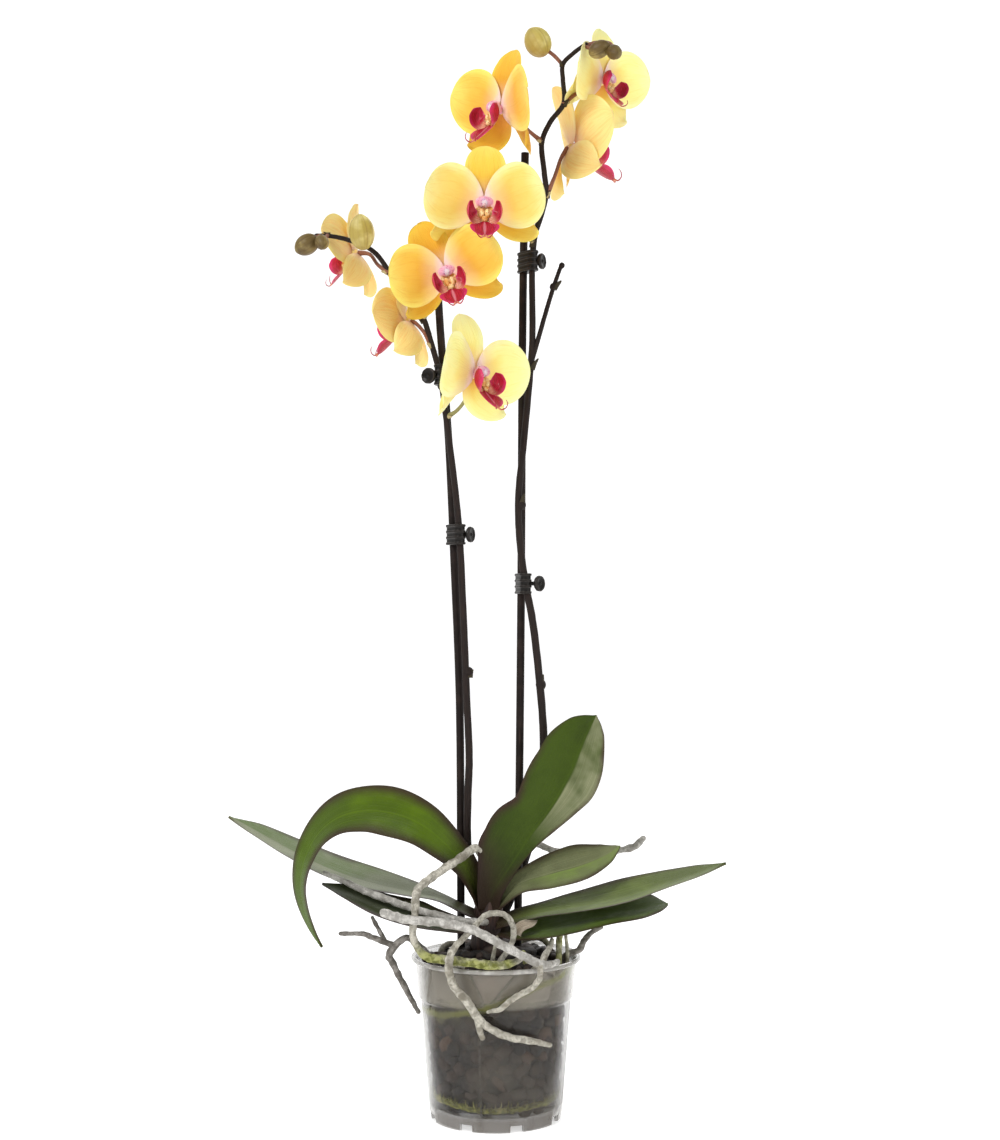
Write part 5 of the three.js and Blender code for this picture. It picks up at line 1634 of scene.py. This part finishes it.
# Stems: dark, light and the tint of the paint.
STEM_COLOURS = {
    "spike_skin": ((0.009, 0.005, 0.004), (0.03, 0.016, 0.011), (0.045, 0.035, 0.018)),
    "stalk_pink": ((0.20, 0.075, 0.045), (0.42, 0.19, 0.12), (0.5, 0.4, 0.2)),
    "stalk_green": ((0.24, 0.22, 0.07), (0.42, 0.38, 0.17), (0.5, 0.4, 0.2)),
}
# Buds: green, yellow and shade.
BUD_COLOURS = {
    "bud_green": ((0.52, 0.43, 0.10), (0.80, 0.72, 0.28), (0.30, 0.19, 0.05)),
    "bud_olive": ((0.16, 0.11, 0.03), (0.42, 0.33, 0.12), (0.06, 0.03, 0.012)),
}


def finishes_from(make, colours, prefix="", *more):
    """One finish for each entry of a table of colours, by the entry's name."""
    return {name: make(prefix + name, *values, *more) for name, values in colours.items()}


def make_pot(root_looks):
    make_piece("pot_shell", pot_shell(), [clear_plastic(), rim_plastic()], ["pot"])
    make_piece("pot_filling", pot_filling(), [bark(), slab()], ["growing_medium"])
    make_piece("moss", moss_ring(), [moss()])
    make_piece("crown", crown(), [crown_finish()], ["crown_stem"])
    make_piece("short_roots", short_roots(), [root_looks["cream"]])
    bract = Shape()
    blade(bract, resampled(DRY_BRACT, 24, LIP_DRAWN), 16, 0.9, 0.4, 1.5)
    make_piece("dry_bract", bract, [dry_skin()])


def make_leaves():
    looks = finishes_from(leaf, LEAF_COLOURS, "leaf_")
    for number, (name, (look, stations)) in enumerate(LEAVES.items()):
        make_piece(name + "_blade", leaf_blade(stations, number * 1.9), [looks[look]], [name])


def make_stems(skin):
    plastic = stake_plastic()
    for name, route in STAKES.items():
        shape = Shape()
        radii = [STAKE_RADIUS] * len(route)
        tube(shape, route, radii, sides=28, steps=4, rough=0.02, grain=0.6, domed=False)
        make_piece(name + "_rod", shape, [plastic], [name])
    left = spike([(SPIKE_LEFT, 3, 1.5)], LEFT_JOINTS, LEFT_SCALES)
    make_piece("spike_left", left, [skin], ["flower_spike_left"])
    right = spike([(SPIKE_RIGHT, 3.1, 1.5), (SIDE_SHOOT, 1.8, 1.4)], RIGHT_JOINTS, RIGHT_SCALES)
    make_piece("spike_right", right, [skin], ["flower_spike_right"])
    clip_look = clip_plastic()
    for number, entry in enumerate(CLIPS, 1):
        make_piece(f"clip_{number}", clip(entry), [clip_look], [f"stake_clip_{number}"])


def make_roots(looks):
    for name, (look, green, runs) in ROOTS.items():
        make_piece(name + "_skin", root_piece(runs, green), [looks[look]], [name])


def make_flowers(stem_looks):
    petal_looks = finishes_from(tepal_finish, TEPAL_COLOURS, "tepal_", PALE_FOOT)
    lower_looks = finishes_from(tepal_finish, TEPAL_COLOURS, "lower_sepal_", ORANGE_FOOT)
    lip_looks = [lip_finish(), callus_finish(), column_finish()]
    for number, flower in enumerate(FLOWERS, 1):
        node = f"flower_{number}"
        slot = "tepal_lemon" if flower.look == "lemon" else "tepal_golden"
        seed = number * 11.3
        upper = DORSAL_LOOKS.get(flower.look, flower.look)
        ring_looks = [petal_looks[upper], stem_looks[flower.stalk_look], lower_looks[upper]]
        ring = sepals_and_stalk(flower, seed)
        make_piece(node + "_sepal_ring", ring, ring_looks, [node + "_sepals"])
        pair_looks = [petal_looks[flower.look]]
        make_piece(node + "_petal_pair", petals(flower, seed), pair_looks, [node + "_petals"])
        make_piece(node + "_lip_parts", lip_and_column(flower), lip_looks, [node + "_lip"])


def make_buds(stalk_look):
    looks = finishes_from(bud_finish, BUD_COLOURS)
    for number, entry in enumerate(BUDS, 1):
        node = f"bud_{number}"
        make_piece(node + "_closed", bud(entry), [looks[entry.look], stalk_look], [node])


# Floor and light

FLOOR_FRONT = 4
FLOOR_BACK = 3
FLOOR_SIDE = 6
FLOOR_CURVE = 1
FLOOR_TOP = 6
FLOOR_GLOW = 0.5


def add_floor():
    """A pale floor that curves up into a backdrop far behind the plant."""
    profile = [(-FLOOR_FRONT, 0), (FLOOR_BACK, 0)]
    for share in spread(8)[1:]:
        turn = math.pi / 2 * share
        profile.append((FLOOR_BACK + FLOOR_CURVE * math.sin(turn), FLOOR_CURVE * (1 - math.cos(turn))))
    profile.append((FLOOR_BACK + FLOOR_CURVE, FLOOR_TOP))
    points = [(x, y, z) for y, z in profile for x in (-FLOOR_SIDE, FLOOR_SIDE)]
    faces = [(2 * row, 2 * row + 1, 2 * row + 3, 2 * row + 2) for row in range(len(profile) - 1)]
    mesh = bpy.data.meshes.new("floor")
    mesh.from_pydata(points, [], faces)
    mesh.polygons.foreach_set("use_smooth", [True] * len(faces))
    finish = Finish("floor", 0.9, Specular_IOR_Level=0.0, Emission_Strength=FLOOR_GLOW)
    finish.shader.inputs["Emission Color"].default_value = (1, 1, 1, 1)
    finish.colour(finish.cloud(6, 3).mix((0.86, 0.86, 0.86), (0.88, 0.88, 0.88)))
    mesh.materials.append(finish.material)
    add_to_scene("floor", mesh)


Light = namedtuple("Light", "name place size power")
LIGHTS = [
    Light("key", (-1000, -1100, 1500), 0.7, 20),
    Light("fill", (1300, -900, 900), 1.2, 7),
    Light("back", (300, 1300, 1300), 1.2, 10),
]
WORLD_LIGHT = 0.42
LIGHT_AIM = (0, 0, 380)


def add_lights():
    for entry in LIGHTS:
        data = bpy.data.lights.new(entry.name, "AREA")
        data.shape = "DISK"
        data.size = entry.size
        data.energy = entry.power
        put_and_aim(add_to_scene(entry.name, data), entry.place, LIGHT_AIM)
    world = bpy.data.worlds.new("studio")
    world.use_nodes = True
    world.node_tree.nodes["Background"].inputs["Color"].default_value = (1, 1, 1, 1)
    world.node_tree.nodes["Background"].inputs["Strength"].default_value = WORLD_LIGHT
    bpy.context.scene.world = world


stem_looks = finishes_from(stem_finish, STEM_COLOURS)
root_looks = finishes_from(root_finish, ROOT_COLOURS, "root_")
make_pot(root_looks)
make_leaves()
make_stems(stem_looks["spike_skin"])
make_roots(root_looks)
make_flowers(stem_looks)
make_buds(stem_looks["stalk_pink"])
add_floor()
add_lights()
